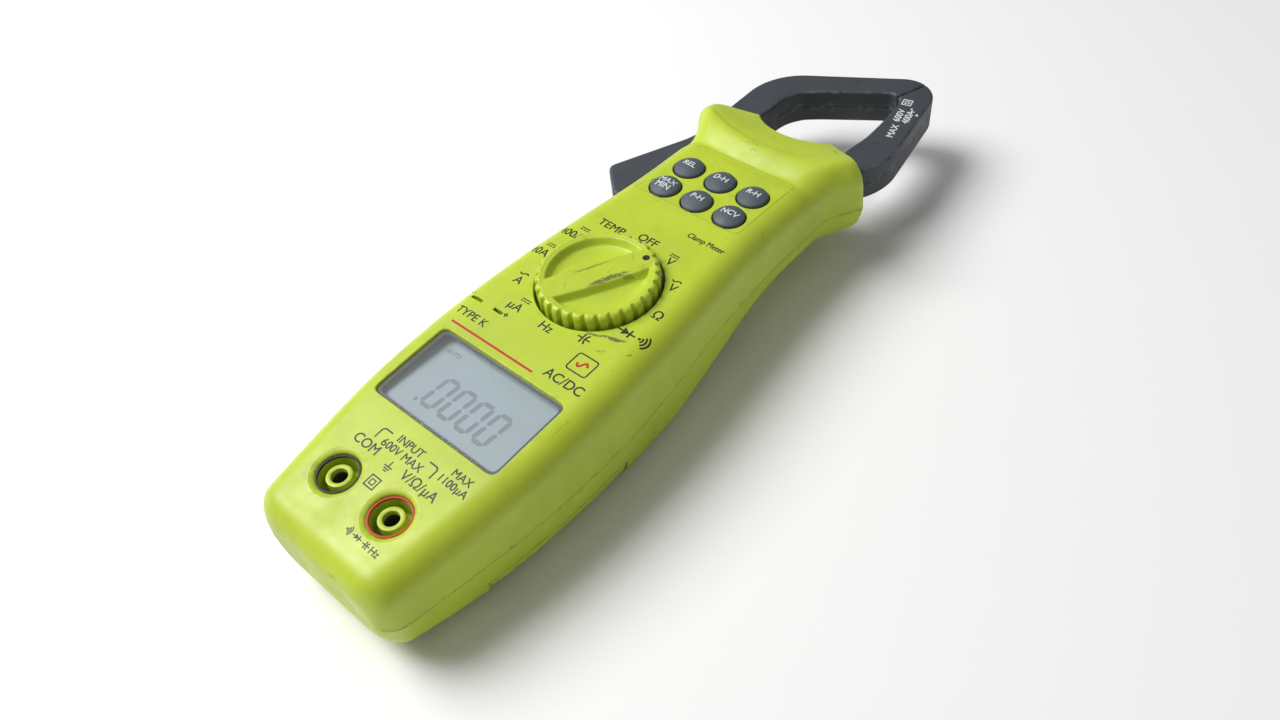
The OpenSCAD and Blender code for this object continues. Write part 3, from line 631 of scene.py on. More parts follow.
def add_bump(tree, shader, height, distance_mm, strength=1.0):
    """Feeds a height through a Bump node to a shader's normal."""
    bump = put(tree, "ShaderNodeBump", {"Height": height, "Distance": distance_mm * MM, "Strength": strength})
    tree.links.new(bump.outputs[0], shader["Normal"])


def moulded_plastic(name, colour, roughness, worn, dirt, wear=0.5, grime=0.5, grain=3.0, depth=0.012, scuffs=(),
                    edge_dark=0.0):
    """Moulded plastic: drifting colour, rubbed edges, grime, specks, single scuffs and a fine mould grain."""
    material, tree, shader, coords = start_material(name, roughness)
    edge = put(tree, "ShaderNodeAttribute", attribute_name="rubbed_edge").outputs["Fac"]
    drift = ramp(tree, noise(tree, coords, 22.0, 4.0), 0.3, 0.7)
    deep = tuple(0.9 * c for c in colour[:3]) + (1.0,)
    tone = blend_colour(tree, drift, deep, colour)
    rub = use_group(tree, "edge", {"Vector": coords, "Edge": edge, "Amount": wear})[0]
    tone = blend_colour(tree, maths(tree, "MULTIPLY", rub, 0.6), tone, worn)
    cloud, speck = use_group(tree, "grime", {"Vector": coords, "Amount": grime})[:2]
    tone = blend_colour(tree, maths(tree, "MULTIPLY", cloud, 0.35), tone, dirt)
    tone = blend_colour(tree, maths(tree, "MULTIPLY", speck, 0.8), tone, dirt)
    if edge_dark:
        lodged = maths(tree, "MULTIPLY", maths(tree, "MULTIPLY", edge,
                                               ramp(tree, noise(tree, coords, 420.0, 4.0), 0.52, 0.7)), edge_dark)
        tone = blend_colour(tree, lodged, tone, dirt)
    for x, y, z, angle, length, width, bend, strength in scuffs:
        mask = use_group(tree, "scuff", {
            "Vector": coords, "Centre mm": (x, y, z), "Angle": math.radians(angle), "Length mm": length,
            "Width mm": width, "Bend": bend, "Strength": strength})[0]
        tone = blend_colour(tree, mask, tone, dirt)
    tree.links.new(tone, shader["Base Color"])
    height, shift = use_group(tree, "grain", {"Vector": coords, "Grain per mm": grain})[:2]
    worn_smooth = maths(tree, "SUBTRACT", maths(tree, "ADD", shift, roughness), maths(tree, "MULTIPLY", rub, 0.12))
    tree.links.new(maths(tree, "ADD", worn_smooth, maths(tree, "MULTIPLY", cloud, 0.15), True), shader["Roughness"])
    add_bump(tree, shader, height, depth)
    return material


def printed_ink(name, colour, roughness=0.5):
    """Pad-printed ink, a little worn through where noise is high."""
    material, tree, shader, coords = start_material(name, roughness)
    worn = ramp(tree, noise(tree, coords, 1500.0, 4.0, 0.7), 0.68, 0.78)
    faded = tuple(0.75 * c + 0.25 * w for c, w in zip(colour[:3], (0.45, 0.5, 0.2))) + (1.0,)
    tree.links.new(blend_colour(tree, worn, colour, faded), shader["Base Color"])
    return material


def plain_finish(name, colour, roughness, metallic=0.0, mottled=0.12, bump_mm=0.01, scale=900.0, **settings):
    """Simple finish: colour and roughness vary with a noise that also raises the surface a little."""
    material, tree, shader, coords = start_material(name, roughness, metallic, **settings)
    n = noise(tree, coords, scale, 4.0)
    dark = tuple(c * (1 - mottled) for c in colour[:3]) + (1.0,)
    tree.links.new(blend_colour(tree, n, dark, colour), shader["Base Color"])
    tree.links.new(ramp(tree, n, -roughness / max(mottled, 0.01), (1 - roughness) / max(mottled, 0.01), False),
                   shader["Roughness"])
    shader["Roughness"].default_value = roughness
    add_bump(tree, shader, n, bump_mm)
    return material


# ---------------------------------------------------------------- case pieces

def case_stations():
    """Stations from the low end to the head's flat end, closer together where the form turns."""
    y = np.concatenate([
        CASE_END_Y + 6 * (1 - np.cos(np.linspace(0, math.pi / 2, 14))), np.arange(-70.5, 77.6, 1.5),
        np.linspace(78, CREST_Y, 34)])
    t = np.linspace(0, 1, 15)[1:]
    return np.concatenate([y, np.full(len(t), CREST_Y)]), np.concatenate([0 * y, t])


def case_solid(side):
    """One half of the case as a closed solid: cross-sections lofted along the length."""
    y, t = case_stations()
    return loft("case_form", half_rows(y, t, side))


def cavity_solid(side):
    """The room inside one half of the case: the same cross-sections moved in by the wall."""
    y = np.concatenate([[CASE_END_Y + WALL], np.arange(-73, 84, 3.0), [84]])
    return loft("cavity", half_rows(y, 0 * y, side, arc=6, middle=9, wall_steps=2, inset=WALL))


def head_outline():
    """Plan of what is cut away in front of the head: slopes down to two shoulders and a round bay between."""
    reach = math.degrees(math.atan2(SHOULDER[1] - HEAD_ARC_Y, SHOULDER[0]))
    bay = arc_points(0, HEAD_ARC_Y, HEAD_ARC_R, -180 - reach, reach, 56)
    slope = spaced(np.array([SHOULDER, SLOPE_END, TIP_END, (40, 97), (40, 112)]), 1.5)
    slope = slope[1:np.argmin(np.linalg.norm(slope - (40, 112), axis=1)) + 1]
    return np.concatenate([slope[::-1] * (-1, 1), bay, slope])


def slot_solid():
    """Room for the jaws and the lever inside the head, open on the left side and in front."""
    plan = [(-45, 52.2), (-4, 52.2), (-4, 78.6), (22, 78.6), (22, 90), (24.4, 97), (24.4, 125), (13.4, 125),
            (13.4, 98.2),
            (-4, 98.2), (-6, 99), (-12.4, 102), (-12.4, 125), (-45, 125)]
    return loft("slot", prism_rows(np.array(plan, float), [(0, SLOT_LOW), (0, SLOT_HIGH)]))


def socket_cutter(x, y):
    """A lead socket's round recess, with the tube left standing in its middle and the tube's own bore."""
    top = face_z(y) - 1.5
    rim = face_z(y)
    profile = [(2.75, 20.2), (2.75, 27.65), (2.02, 27.65), (2.02, top - 0.35), (2.12, top - 0.12), (2.4, top),
               (3.0, top), (3.2, top - 0.1),
               (3.3, top - 0.3), (3.36, 24.6), (3.7, 24.2), (4.9, 24.2), (4.9, rim - 1.3), (5.55, rim - 1.28),
               (5.55, rim - 0.95)]
    rows = turned_rows(profile, x, y)
    turn = np.linspace(0, math.radians(72), 6)
    ring = rows[0, :, :2] - (x, y)
    ring /= np.linalg.norm(ring, axis=1, keepdims=True)
    dish = []
    for u in turn:
        p = (x, y) + ring * (5.62 + 1.5 * (1 - math.cos(u)) + 0.25 * math.sin(u))
        z = skin_z(p[:, 0], p[:, 1]) - 0.75 * (1 - math.sin(u))
        dish.append(np.column_stack([p, np.maximum(z, rim - 1.25)]))
    p = (x, y) + ring * 7.6
    dish.append(np.column_stack([p, skin_z(p[:, 0], p[:, 1]) + 0.9]))
    dish.append(np.column_stack([p, np.full(len(p), 45.0)]))
    return loft("socket_recess", np.concatenate([rows, np.stack(dish)]))


def screw_post(x, y, r, side):
    """Round post for a case screw, from the parting plane to just inside the skin."""
    ring = circle(x, y, r, 32)
    skin = skin_z(ring[:, 0], ring[:, 1], side) - side * 0.9
    return loft("post", [np.column_stack([ring, np.full(32, float(parting_z(y)) + side * 0.1)]),
                         np.column_stack([ring, skin])])


def front_case_piece(sizes):
    """Front shell: the half's solid less its cavity, with posts and cups added and the holes cut."""
    body = case_solid(1)
    posts = [screw_post(x, y, 3.0, 1) for x, y in CASE_SCREWS]
    cups = [loft("cup", turned_rows([(6.6, 22.6), (6.6, 29.6)], *place, steps=64)) for place in SOCKETS]
    screws = [loft("hole", turned_rows([(1.25, 10), (1.25, 26.6)], x, y, steps=24)) for x, y in CASE_SCREWS]
    keys = [loft("key_hole", flared_rows(circle(*node_centre("button_" + key)[:2], sizes.key_hole_r, 72), 26,
                                         0.3)) for key in KEYS]
    slots = [loft("probe_slot", flared_rows(spaced(rectangle(x, PROBE_Y, w, 0.95, 0.2, 3), 0.8), 26, 0.12)) for x,
             w in PROBE_SLOTS]
    dial = loft("dial_hole", flared_rows(circle(DIAL_X, DIAL_Y, sizes.dial_hole_r, 180), 20, 0.35))
    window = spaced(rectangle(0, DISPLAY_Y, sizes.window_w, sizes.window_h, 2.2), 1.2)
    window = loft("window", flared_rows(window, 20, sizes.window_edge))
    head = loft("head_cut", flared_rows(head_outline(), 5, sizes.head_edge))
    carve(body, [
        ("DIFFERENCE", cavity_solid(1)), ("UNION", joined("posts", posts + cups)), ("DIFFERENCE", slot_solid()),
        ("DIFFERENCE", head),
        ("DIFFERENCE", joined("holes", screws + keys + slots + [dial, window])),
        ("DIFFERENCE", joined("sockets", [socket_cutter(*place) for place in SOCKETS]))])
    body.name = "case_front"
    return finish_piece(body, "case", ["front_case"])


def rear_case_piece(sizes):
    """Rear shell: the half's solid less its cavity, with posts and a boss added, and the battery bay and holes
    cut."""
    body = case_solid(-1)
    posts = [screw_post(x, y, 4.0, -1) for x, y in CASE_SCREWS]
    boss = loft("boss", turned_rows([(3.6, 5), (3.6, 14)], *COVER_SCREW, steps=32))
    head = loft("head_cut", flared_rows(head_outline(), 30, sizes.head_edge, side=-1))
    bay = loft("bay", prism_rows(np.array([(-40, -52), (40, -52), (40, -6), (-40, -6)], float), [(0, -5), (0, 8.2)]))
    wells = [loft("well", flared_rows(circle(x, y, 2.8, 40), 10, 0.3, side=-1)) for x, y in CASE_SCREWS]
    shanks = [loft("shank", turned_rows([(1.45, 9.5), (1.45, 22)], x, y, steps=24)) for x, y in CASE_SCREWS]
    cover_hole = loft("cover_hole", turned_rows([(1.25, 2), (1.25, 12)], *COVER_SCREW, steps=24))
    carve(body, [
        ("DIFFERENCE", cavity_solid(-1)), ("UNION", joined("posts", posts + [boss])), ("DIFFERENCE", slot_solid()),
        ("DIFFERENCE", head), ("DIFFERENCE", bay),
        ("DIFFERENCE", joined("holes", wells + [cover_hole])), ("DIFFERENCE", joined("shanks", shanks))])
    body.name = "case_rear"
    return finish_piece(body, "case", ["rear_case"])


def socket_ring_pieces(sizes):
    """Coloured rings let into the rims of the two socket recesses: a flat band with a softened top."""
    made = []
    for node, (x, y) in zip(("com_ring", "volt_ring"), SOCKETS):
        top = float(node_box(node)[1][2])
        band, soft = sizes.ring_width, 0.12
        profile = [(5.52 - band, top - 0.5), (5.52, top - 0.5), (5.52, top - soft), (5.48, top - 0.03), (5.4, top),
                   (5.52 - band + 0.1, top), (5.52 - band + 0.03, top - 0.03), (5.52 - band, top - soft)]
        rows = turned_rows(profile, x, y)
        ring = make_object(node + "_band", raw_mesh(node + "_band", rows,
                                                    grid_quads(*rows.shape[:2], True, True).tolist()))
        made.append(finish_piece(ring, "case", [node], sharp=50))
    return made


def battery_door_piece():
    """The door over the battery: the case's own rear form, set in by a step, with softened ends."""
    low, high = -51.7, -6.3
    y = np.concatenate([[low, low + 0.15, low + 0.5], np.linspace(low + 2, high - 2, 30),
                        [high - 0.5, high - 0.15, high]])
    soften = np.array([0.5, 0.2, 0.0] + [0.0] * 30 + [0.0, 0.2, 0.5])
    rows = half_rows(y, 0 * y, -1, middle=30, groove=0)
    rows[..., 2] += 1.1 + soften[:, None]
    rows[..., 0] *= 1 - 0.008 * soften[:, None] / 0.5
    body = loft("battery_door", rows)
    top = loft("top", prism_rows(np.array([(-40, -60), (40, -60), (40, 0), (-40, 0)], float), [(0, 7.9), (0, 40)]))
    inner = half_rows(np.linspace(-49.4, -8.6, 12), np.zeros(12), -1, arc=6, middle=9, wall_steps=2, inset=WALL)
    inner[..., 2] += 1.1
    well = loft("well", turned_rows([(1.45, 2), (1.45, 9)], *COVER_SCREW, steps=24))
    head = loft("head", turned_rows([(3.1, -1), (2.9, 1.3), (2.7, 1.6), (2.7, 2.05)], *COVER_SCREW, steps=40))
    carve(body, [("DIFFERENCE", top), ("DIFFERENCE", loft("inner", inner)), ("DIFFERENCE", head),
                 ("DIFFERENCE", well)])
    return finish_piece(body, "case", ["battery_cover"])


# ---------------------------------------------------------------- jaws

RING_CIRCLES = [((-7.6, 120.0), 20.0), ((7.4, 117.0), 20.0), ((13.6, 144.4), 9.3)]
WINDOW = [(-16.3, 120), (-15.4, 124.2), (-12.6, 128.6), (-8, 132), (8, 142), (10.4, 143.3), (12.75, 142.95),
          (14.4, 141.4), (15.1, 139), (15.8, 128), (16, 120), (14.8, 112)]
TIP_SPLIT = [(12.6, 142.4), (15.2, 149.4), (17.6, 156)]
HUB_R = 9.5


def ring_outer(start, stop, steps):
    """Outer edge of the closed jaws between two directions, in degrees: at each, the circle that reaches furthest."""
    a = np.radians(np.linspace(start, stop, steps))
    out = np.stack([np.cos(a), np.sin(a)], -1)
    centres = np.array([c for c, _ in RING_CIRCLES])
    radii = np.array([r for _, r in RING_CIRCLES])
    best = np.argmax(out @ centres.T + radii, 1)
    return centres[best] + out * radii[best][:, None]


def tip_direction():
    """Direction from the tip circle's centre to where the split leaves it, in degrees."""
    (cx, cy), r = RING_CIRCLES[2]
    p, q = np.array(TIP_SPLIT[1]), np.array(TIP_SPLIT[2])
    k = np.linspace(0, 1, 400)[:, None]
    line = p + (q - p) * k
    hit = line[np.argmin(np.abs(np.linalg.norm(line - (cx, cy), axis=1) - r))]
    return math.degrees(math.atan2(hit[1] - cy, hit[0] - cx))


def moving_outline(gap):
    """Plan of the moving jaw: outer curve, lever, hub and the window's left side."""
    tip = tip_direction() + 1.0
    outer = ring_outer(tip, 180, 110)
    lever = rounded_corners([(-27.6, 104), (-27.6, 100), (-27.2, 92), (-39.5, 65), (-29.03, 55.54), (-20.5, 66),
                             (-16, 78),
                             (-10, 81.4)], [0, 1.5, 5, 2.2, 2.4, 4, 4, 0])
    angle = np.radians(np.linspace(-62, 104, 40))
    hub = np.stack([PIVOT[0] + HUB_R * np.cos(angle), PIVOT[1] + HUB_R * np.sin(angle)], -1)
    inner = rounded_corners([(-16.3, 99.3)] + WINDOW[:6] + [(12.75 - gap, 142.95)], [0, 2, 2, 2, 2, 2, 1, 0])
    return np.concatenate([outer, lever, hub, inner, [(TIP_SPLIT[1][0] - gap, TIP_SPLIT[1][1])]])


def fixed_outline(gap):
    """Plan of the fixed jaw: its foot inside the head, outer curve, split and the window's right side."""
    tip = tip_direction() - 1.0
    foot = [(-5, 80.4), (19, 80.4), (21.4, 83), (21.4, 90), (23.4, 97.5)]
    outer = ring_outer(-36.87, tip, 90)
    inner = rounded_corners([(12.75 + gap, 142.95)] + WINDOW[7:] + [(14.8, 97.8), (-5, 97.8), (-5, 94.1)],
                            [0, 1, 2, 2, 2, 2, 0, 0, 0])
    angle = np.radians(np.linspace(24.6, -24.6, 12))
    bay = np.stack([PIVOT[0] + (HUB_R + 0.4) * np.cos(angle), PIVOT[1] + (HUB_R + 0.4) * np.sin(angle)], -1)
    return np.concatenate([foot, outer, [(TIP_SPLIT[1][0] + gap, TIP_SPLIT[1][1])], inner, bay])


def shell_levels(low, high, edge, seam):
    """Offsets and heights of a jaw shell: rounded by edge at its outer face, and by seam where the two shells
    meet."""
    turn = np.linspace(0, math.pi / 2, 5)
    outer = [(-edge * (1 - math.sin(u)), edge * (1 - math.cos(u))) for u in turn]
    if high > JAW_MID:
        levels = [(-seam - 0.3, low), (-seam, low), (0, low + seam)]
        return levels + [(o, high - h) for o, h in reversed(outer)] + [(-edge - 0.35, high)]
    levels = [(-edge - 0.35, low)] + [(o, low + h) for o, h in outer]
    return levels + [(0, high - seam), (-seam, high), (-seam - 0.3, high)]


def node_tool(node):
    """A welded copy of a CAD node's mesh, to carve its room out of a piece."""
    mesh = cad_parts[node].data.copy()
    tidy_mesh(mesh, 1e-6)
    return make_object("room", mesh)


def jaw_shell(name, outline, low, high, edge, seam, body, node, core, holes):
    """One half of a jaw: its outline carried up through levels with rounded edges, less the core."""
    shell = loft(name, prism_rows(outline, shell_levels(low, high, edge, seam)))
    steps = [("DIFFERENCE", node_tool(core))]
    steps += [("DIFFERENCE", loft("hole", turned_rows(profile, x, y, steps=48))) for profile, x, y in holes]
    carve(shell, steps)
    return finish_piece(shell, body, [node], reach=0.7)


def jaw_pieces(sizes):
    """Both halves of the moving and the fixed jaw, each from its outline between two heights."""
    pin = [([(3.08, JAW_LOW - 1), (3.08, JAW_HIGH + 1)], *PIVOT)]
    heads = [([(2.7, JAW_LOW - 1), (2.7, JAW_LOW + 2)], x, y) for x, y in LEVER_SCREWS]
    shanks = [([(1.25, JAW_LOW + 1.5), (1.25, JAW_MID + 3.4)], x, y) for x, y in LEVER_SCREWS]
    moving, fixed = moving_outline(sizes.tip_gap / 2), fixed_outline(sizes.tip_gap / 2)
    edge, seam = sizes.edge, sizes.seam
    return [
        jaw_shell("moving_jaw_front", moving, JAW_MID, JAW_HIGH, edge, seam, "jaw", "moving_jaw_top", "moving_core",
                  pin),
        jaw_shell("moving_jaw_rear", moving, JAW_LOW, JAW_MID, edge, seam, "jaw", "moving_jaw_bottom", "moving_core",
                  pin + heads + shanks),
        jaw_shell("fixed_jaw_front", fixed, JAW_MID, JAW_HIGH, edge, seam, "case", "fixed_jaw_top", "fixed_core", []),
        jaw_shell("fixed_jaw_rear", fixed, JAW_LOW, JAW_MID, edge, seam, "case", "fixed_jaw_bottom", "fixed_core",
                  [])]


# ---------------------------------------------------------------- dial and keys

def dial_piece(sizes):
    """Range dial as one turned grid: a scalloped wall, a rounded rim, and two scooped pockets beside a grip bar.

    The wall's radius drops at each groove; the top's height drops inside each half-disc pocket by a smooth step
    of the distance to the pocket's edge, and rises again as a shallow bowl towards its middle."""
    lobes = sizes.lobes
    per_lobe = 16
    angle = np.linspace(0, 2 * math.pi, lobes * per_lobe, endpoint=False)
    pointer = math.radians(60)
    pitch = 2 * math.pi / lobes
    off = (np.mod(angle + pitch / 2, pitch) - pitch / 2) * DIAL_R
    groove = sizes.groove_depth * np.clip(1 - (off / sizes.groove_half) ** 2, 0, 1) ** 0.7
    crown = 0.3 * (1 - np.clip(np.abs(off) / (pitch * DIAL_R / 2), 0, 1)) ** 2
    wall = DIAL_R - 0.02 - groove - crown
    rows = []
    bore, skirt = 5.05, DIAL_LOW
    for r, z in [(bore, skirt + 3.6), (bore, skirt), (DIAL_R - 2, skirt)]:
        rows.append(np.stack([r * np.cos(angle), r * np.sin(angle), np.full_like(angle, z)], -1))
    edge = sizes.rim_edge
    for z in [skirt, skirt + 0.2, *np.linspace(skirt + 1, DIAL_FACE - edge, 8)]:
        taper = 0.012 * (z - skirt)
        rows.append(np.stack([(wall - taper) * np.cos(angle), (wall - taper) * np.sin(angle),
                              np.full_like(angle, z)], -1))
    fade = np.linspace(0, 1, 8)[1:]
    last = wall - 0.012 * (DIAL_FACE - edge - skirt)
    for f in fade:
        u = f * math.pi / 2
        inset = edge * (1 - math.cos(u))
        r = last + (DIAL_R - 0.3 - last) * f**4 - inset
        rows.append(np.stack([r * np.cos(angle), r * np.sin(angle),
                              np.full_like(angle, DIAL_FACE - edge * (1 - math.sin(u)))], -1))
    start = rows[-1][:, :2]
    pocket_r, bar = sizes.pocket_r, sizes.bar_half
    for k in np.linspace(0, 1, 74)[1:-1]:
        p = start * (1 - k)
        along = p[:, 0] * math.cos(pointer) + p[:, 1] * math.sin(pointer)
        across = np.abs(-p[:, 0] * math.sin(pointer) + p[:, 1] * math.cos(pointer))
        half = bar + 0.55 * np.cos(np.clip(along / pocket_r, -1, 1) * math.pi / 2)
        inside = np.minimum(pocket_r - np.hypot(along, across), (across - half) * 1.0)
        slope = smoothstep(0.0, 1.5, inside)
        bowl = 1.1 * np.clip(1 - inside / 6.5, 0, 1) ** 2
        brow = 0.18 * smoothstep(-1.6, 0.1, inside) * (1 - slope)
        z = DIAL_FACE - slope * (sizes.pocket_depth - bowl) - brow
        rows.append(np.column_stack([p, z]))
    rows = np.stack(rows)
    rows[..., 0] += DIAL_X
    rows[..., 1] += DIAL_Y
    body = loft("range_dial", rows)
    return finish_piece(body, "dial", ["dial_knob"], sharp=40, reach=0.6)


def key_profile(node, sizes):
    """Section of a key: flange, straight skirt, rounded shoulder and a domed top, as (radius, height)."""
    low, high = node_box(node)
    r, edge, dome = sizes.key_r, sizes.shoulder, DOME_R
    centre = float(high[2]) - dome
    fall = math.asin((r - edge) / (dome - edge))
    rim = centre + math.sqrt((dome - edge) ** 2 - (r - edge) ** 2)
    curve = [(r - edge + edge * math.sin(u), rim + edge * math.cos(u)) for u in np.linspace(math.pi / 2, fall, 9)]
    cap = [(dome * math.sin(v), centre + dome * math.cos(v)) for v in np.linspace(fall, 0.01, 12)[1:]]
    flange = float(low[2])
    return [(5.1, flange), (5.1, flange + 0.9), (5.0, flange + 1), (r, flange + 1), *curve, *cap]


def key_pieces(sizes):
    """Each key's cap: its profile turned about its own axis."""
    made = []
    for key in KEYS:
        node = "button_" + key
        x, y = node_centre(node)[:2]
        body = loft("key_" + key + "_cap", turned_rows(key_profile(node, sizes), x, y, 96))
        made.append(finish_piece(body, "key_" + key, [node], sharp=50, reach=0.5))
    return made


# ---------------------------------------------------------------- legends

def stroke(points, width, closed=False):
    """A ribbon of even width along a polyline, as (points, quads)."""
    p = np.asarray(points, float)
    ahead, behind = np.roll(p, -1, 0) - p, p - np.roll(p, 1, 0)
    if not closed:
        ahead[-1], behind[0] = behind[-1], ahead[0]
    ahead /= np.linalg.norm(ahead, axis=1, keepdims=True)
    behind /= np.linalg.norm(behind, axis=1, keepdims=True)
    normal = np.stack([-(ahead + behind)[:, 1], (ahead + behind)[:, 0]], -1)
    normal /= np.linalg.norm(normal, axis=1, keepdims=True)
    normal /= np.maximum((normal * np.stack([-ahead[:, 1], ahead[:, 0]], -1)).sum(1, keepdims=True), 0.4)
    grid = np.stack([p - normal * width / 2, p + normal * width / 2], 1)
    return grid.reshape(-1, 2), grid_quads(len(p), 2, close_rows=closed).tolist()


def filled(points):
    """A closed outline as one flat face."""
    return np.asarray(points, float), [list(range(len(points)))]


LETTER = {}


def letters(text, height, squeeze=1.0):
    """Outline text as flat faces, centred, with capitals of the given height."""
    def shape(body):
        curve = bpy.data.curves.new("text", "FONT")
        curve.body, curve.size = body, 1.0
        curve.align_x, curve.resolution_u = "CENTER", 4
        obj = make_object("text", curve)
        mesh = bpy.data.meshes.new_from_object(obj.evaluated_get(bpy.context.evaluated_depsgraph_get()))
        co = np.zeros(len(mesh.vertices) * 3)
        mesh.vertices.foreach_get("co", co)
        faces = [list(f.vertices) for f in mesh.polygons]
        bpy.data.objects.remove(obj)
        bpy.data.curves.remove(curve)
        bpy.data.meshes.remove(mesh)
        return co.reshape(-1, 3)[:, :2], faces
    if "cap" not in LETTER:
        LETTER["cap"] = float(np.ptp(shape("H")[0][:, 1]))
    points, faces = shape(text)
    points = points * (squeeze * height / LETTER["cap"], height / LETTER["cap"])
    points[:, 1] -= height / 2
    return points, faces


def combine(*shapes):
    """Several flat shapes, each (points, faces), as one."""
    points, faces, base = [], [], 0
    for p, f in shapes:
        points.append(p)
        faces += [[i + base for i in face] for face in f]
        base += len(p)
    return np.concatenate(points), faces


def placed(shape, x, y, angle=0.0):
    """A flat shape turned by an angle in degrees, then moved to x, y."""
    points, faces = shape
    a = math.radians(angle)
    turn = np.array([(math.cos(a), math.sin(a)), (-math.sin(a), math.cos(a))])
    return points @ turn + (x, y), faces


def arc_points(x, y, r, start, stop, steps=14):
    """Points evenly spaced along a circular arc, between two angles in degrees."""
    a = np.radians(np.linspace(start, stop, steps))
    return np.stack([x + r * np.cos(a), y + r * np.sin(a)], -1)


def direct_sign(width=3.0):
    """Direct current: a line over three dashes."""
    dashes = [stroke([(x - width * 0.13, 0), (x + width * 0.13, 0)], 0.26) for x in (-width * 0.37, 0, width * 0.37)]
    return combine(stroke([(-width / 2, 0.75), (width / 2, 0.75)], 0.26), *dashes)


def wave_sign(width=2.6, height=0.5, thick=0.3):
    """Alternating current: one period of a sine as a stroke."""
    x = np.linspace(-1, 1, 22)
    return stroke(np.stack([x * width / 2, height * 0.7 * np.sin(x * math.pi)], -1), thick)


def diode_sign(s=1.0):
    """Diode: a triangle and a bar on a line."""
    triangle = filled([(-0.8 * s, -0.85 * s), (0.7 * s, 0), (-0.8 * s, 0.85 * s)])
    return combine(triangle, stroke([(0.8 * s, -0.9 * s), (0.8 * s, 0.9 * s)], 0.34 * s),
                   stroke([(-2 * s, 0), (-0.8 * s, 0)], 0.28 * s), stroke([(0.9 * s, 0), (2 * s, 0)], 0.28 * s))


def sound_sign(s=1.0):
    """Buzzer: a dot and three arcs about it."""
    arcs = [stroke(arc_points(0, 0, r * s, -48, 48), 0.28 * s) for r in (0.8, 1.5, 2.2)]
    return combine(filled(circle(0.05, 0, 0.28 * s, 14)), *arcs)


def capacitor_sign(s=1.0):
    """Capacitor: a straight plate and a curved one, each with its lead."""
    return combine(stroke([(-0.35 * s, -1.2 * s), (-0.35 * s, 1.2 * s)], 0.3 * s),
                   stroke(arc_points(1.9 * s, 0, 1.6 * s, 135, 225), 0.3 * s),
                   stroke([(-1.5 * s, 0), (-0.35 * s, 0)], 0.28 * s), stroke([(0.35 * s, 0), (1.5 * s, 0)], 0.28 * s))


def earth_sign():
    """Earth: a stem over three bars, each shorter than the last."""
    bars = [stroke([(-w, y), (w, y)], 0.28) for w, y in ((1.25, 0.1), (0.85, -0.5), (0.45, -1.1))]
    return combine(stroke([(0, 0.1), (0, 1.7)], 0.28), *bars)


def square_sign(size=3.0, thick=0.3):
    """Double insulation: a square within a square."""
    outer = stroke([(-size / 2, -size / 2), (size / 2, -size / 2), (size / 2, size / 2), (-size / 2, size / 2)],
                   thick, True)
    inner = size * 0.22
    return combine(outer, stroke([(-inner, -inner), (inner, -inner), (inner, inner), (-inner, inner)], thick * 0.8,
                                 True))


def spread(mesh, by):
    """Moves the rim of flat triangles outwards in their plane, so that thin strokes print bolder. An edge that one
    triangle uses is on the rim and pushes both its ends along its normal, away from the triangle. A point moves
    BY along the sum of its pushes."""
    points = positions(mesh)
    corners = np.empty(len(mesh.loops), np.int32)
    mesh.loops.foreach_get("vertex_index", corners)
    corners = corners.reshape(-1, 3)
    sides = np.concatenate([corners, np.roll(corners, -1, 1), np.roll(corners, -2, 1)])
    _, first, uses = np.unique(np.sort(sides[:, :2], 1), axis=0, return_index=True, return_counts=True)
    start, end, across = sides[first[uses == 1]].T
    along, inward = (points[end] - points[start])[:, :2], (points[across] - points[start])[:, :2]
    out = np.column_stack([along[:, 1], -along[:, 0]]) / np.linalg.norm(along, axis=1)[:, None]
    out *= np.where((out * inward).sum(1) > 0, -1, 1)[:, None]
    push = np.zeros((len(points), 2))
    np.add.at(push, start, out)
    np.add.at(push, end, out)
    size = np.linalg.norm(push, axis=1)[:, None]
    points[:, :2] += by * np.divide(push, size, out=np.zeros_like(push), where=size > 0)
    mesh.vertices.foreach_set("co", points.astype(np.float32).ravel())


def print_piece(name, shapes, surface, body, lift=0.035, longest=2.0, bold=0.045):
    """Flat shapes laid on a surface as a thin closed film: cut finer, doubled, and draped. A point's height is the
    surface's at its place, plus the lift on the film's upper side and less the sink on its lower side."""
    points, faces = combine(*shapes)
    mesh = bpy.data.meshes.new(name)
    flat = np.column_stack([points, np.zeros(len(points))])
    mesh.from_pydata(flat.tolist(), [], [face for face in faces if len(set(face)) > 2])
    bm = bmesh.new()
    bm.from_mesh(mesh)
    bmesh.ops.remove_doubles(bm, verts=bm.verts, dist=1e-4)
    bmesh.ops.triangulate(bm, faces=bm.faces)
    bm.to_mesh(mesh)
    bm.clear()
    spread(mesh, bold)
    bm.from_mesh(mesh)
    for _ in range(4):
        long_edges = [e for e in bm.edges if e.calc_length() > longest]
        if not long_edges:
            break
        bmesh.ops.subdivide_edges(bm, edges=long_edges, cuts=1)
        bmesh.ops.triangulate(bm, faces=bm.faces)
    bm.normal_update()
    bmesh.ops.reverse_faces(bm, faces=[face for face in bm.faces if face.normal.z < 0])
    grown = bmesh.ops.extrude_face_region(bm, geom=list(bm.faces))
    upper = [part for part in grown["geom"] if isinstance(part, bmesh.types.BMVert)]
    bmesh.ops.translate(bm, vec=(0, 0, 1), verts=upper)
    bm.to_mesh(mesh)
    bm.free()
    points = positions(mesh)
    points[:, 2] = surface(points[:, 0], points[:, 1]) + np.where(points[:, 2] > 0.5, lift, -FILM_SINK)
    mesh.vertices.foreach_set("co", (points * MM).astype(np.float32).ravel())
    turn_outwards(mesh)
    obj = make_object(name, mesh)
    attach(obj, body)
    return obj


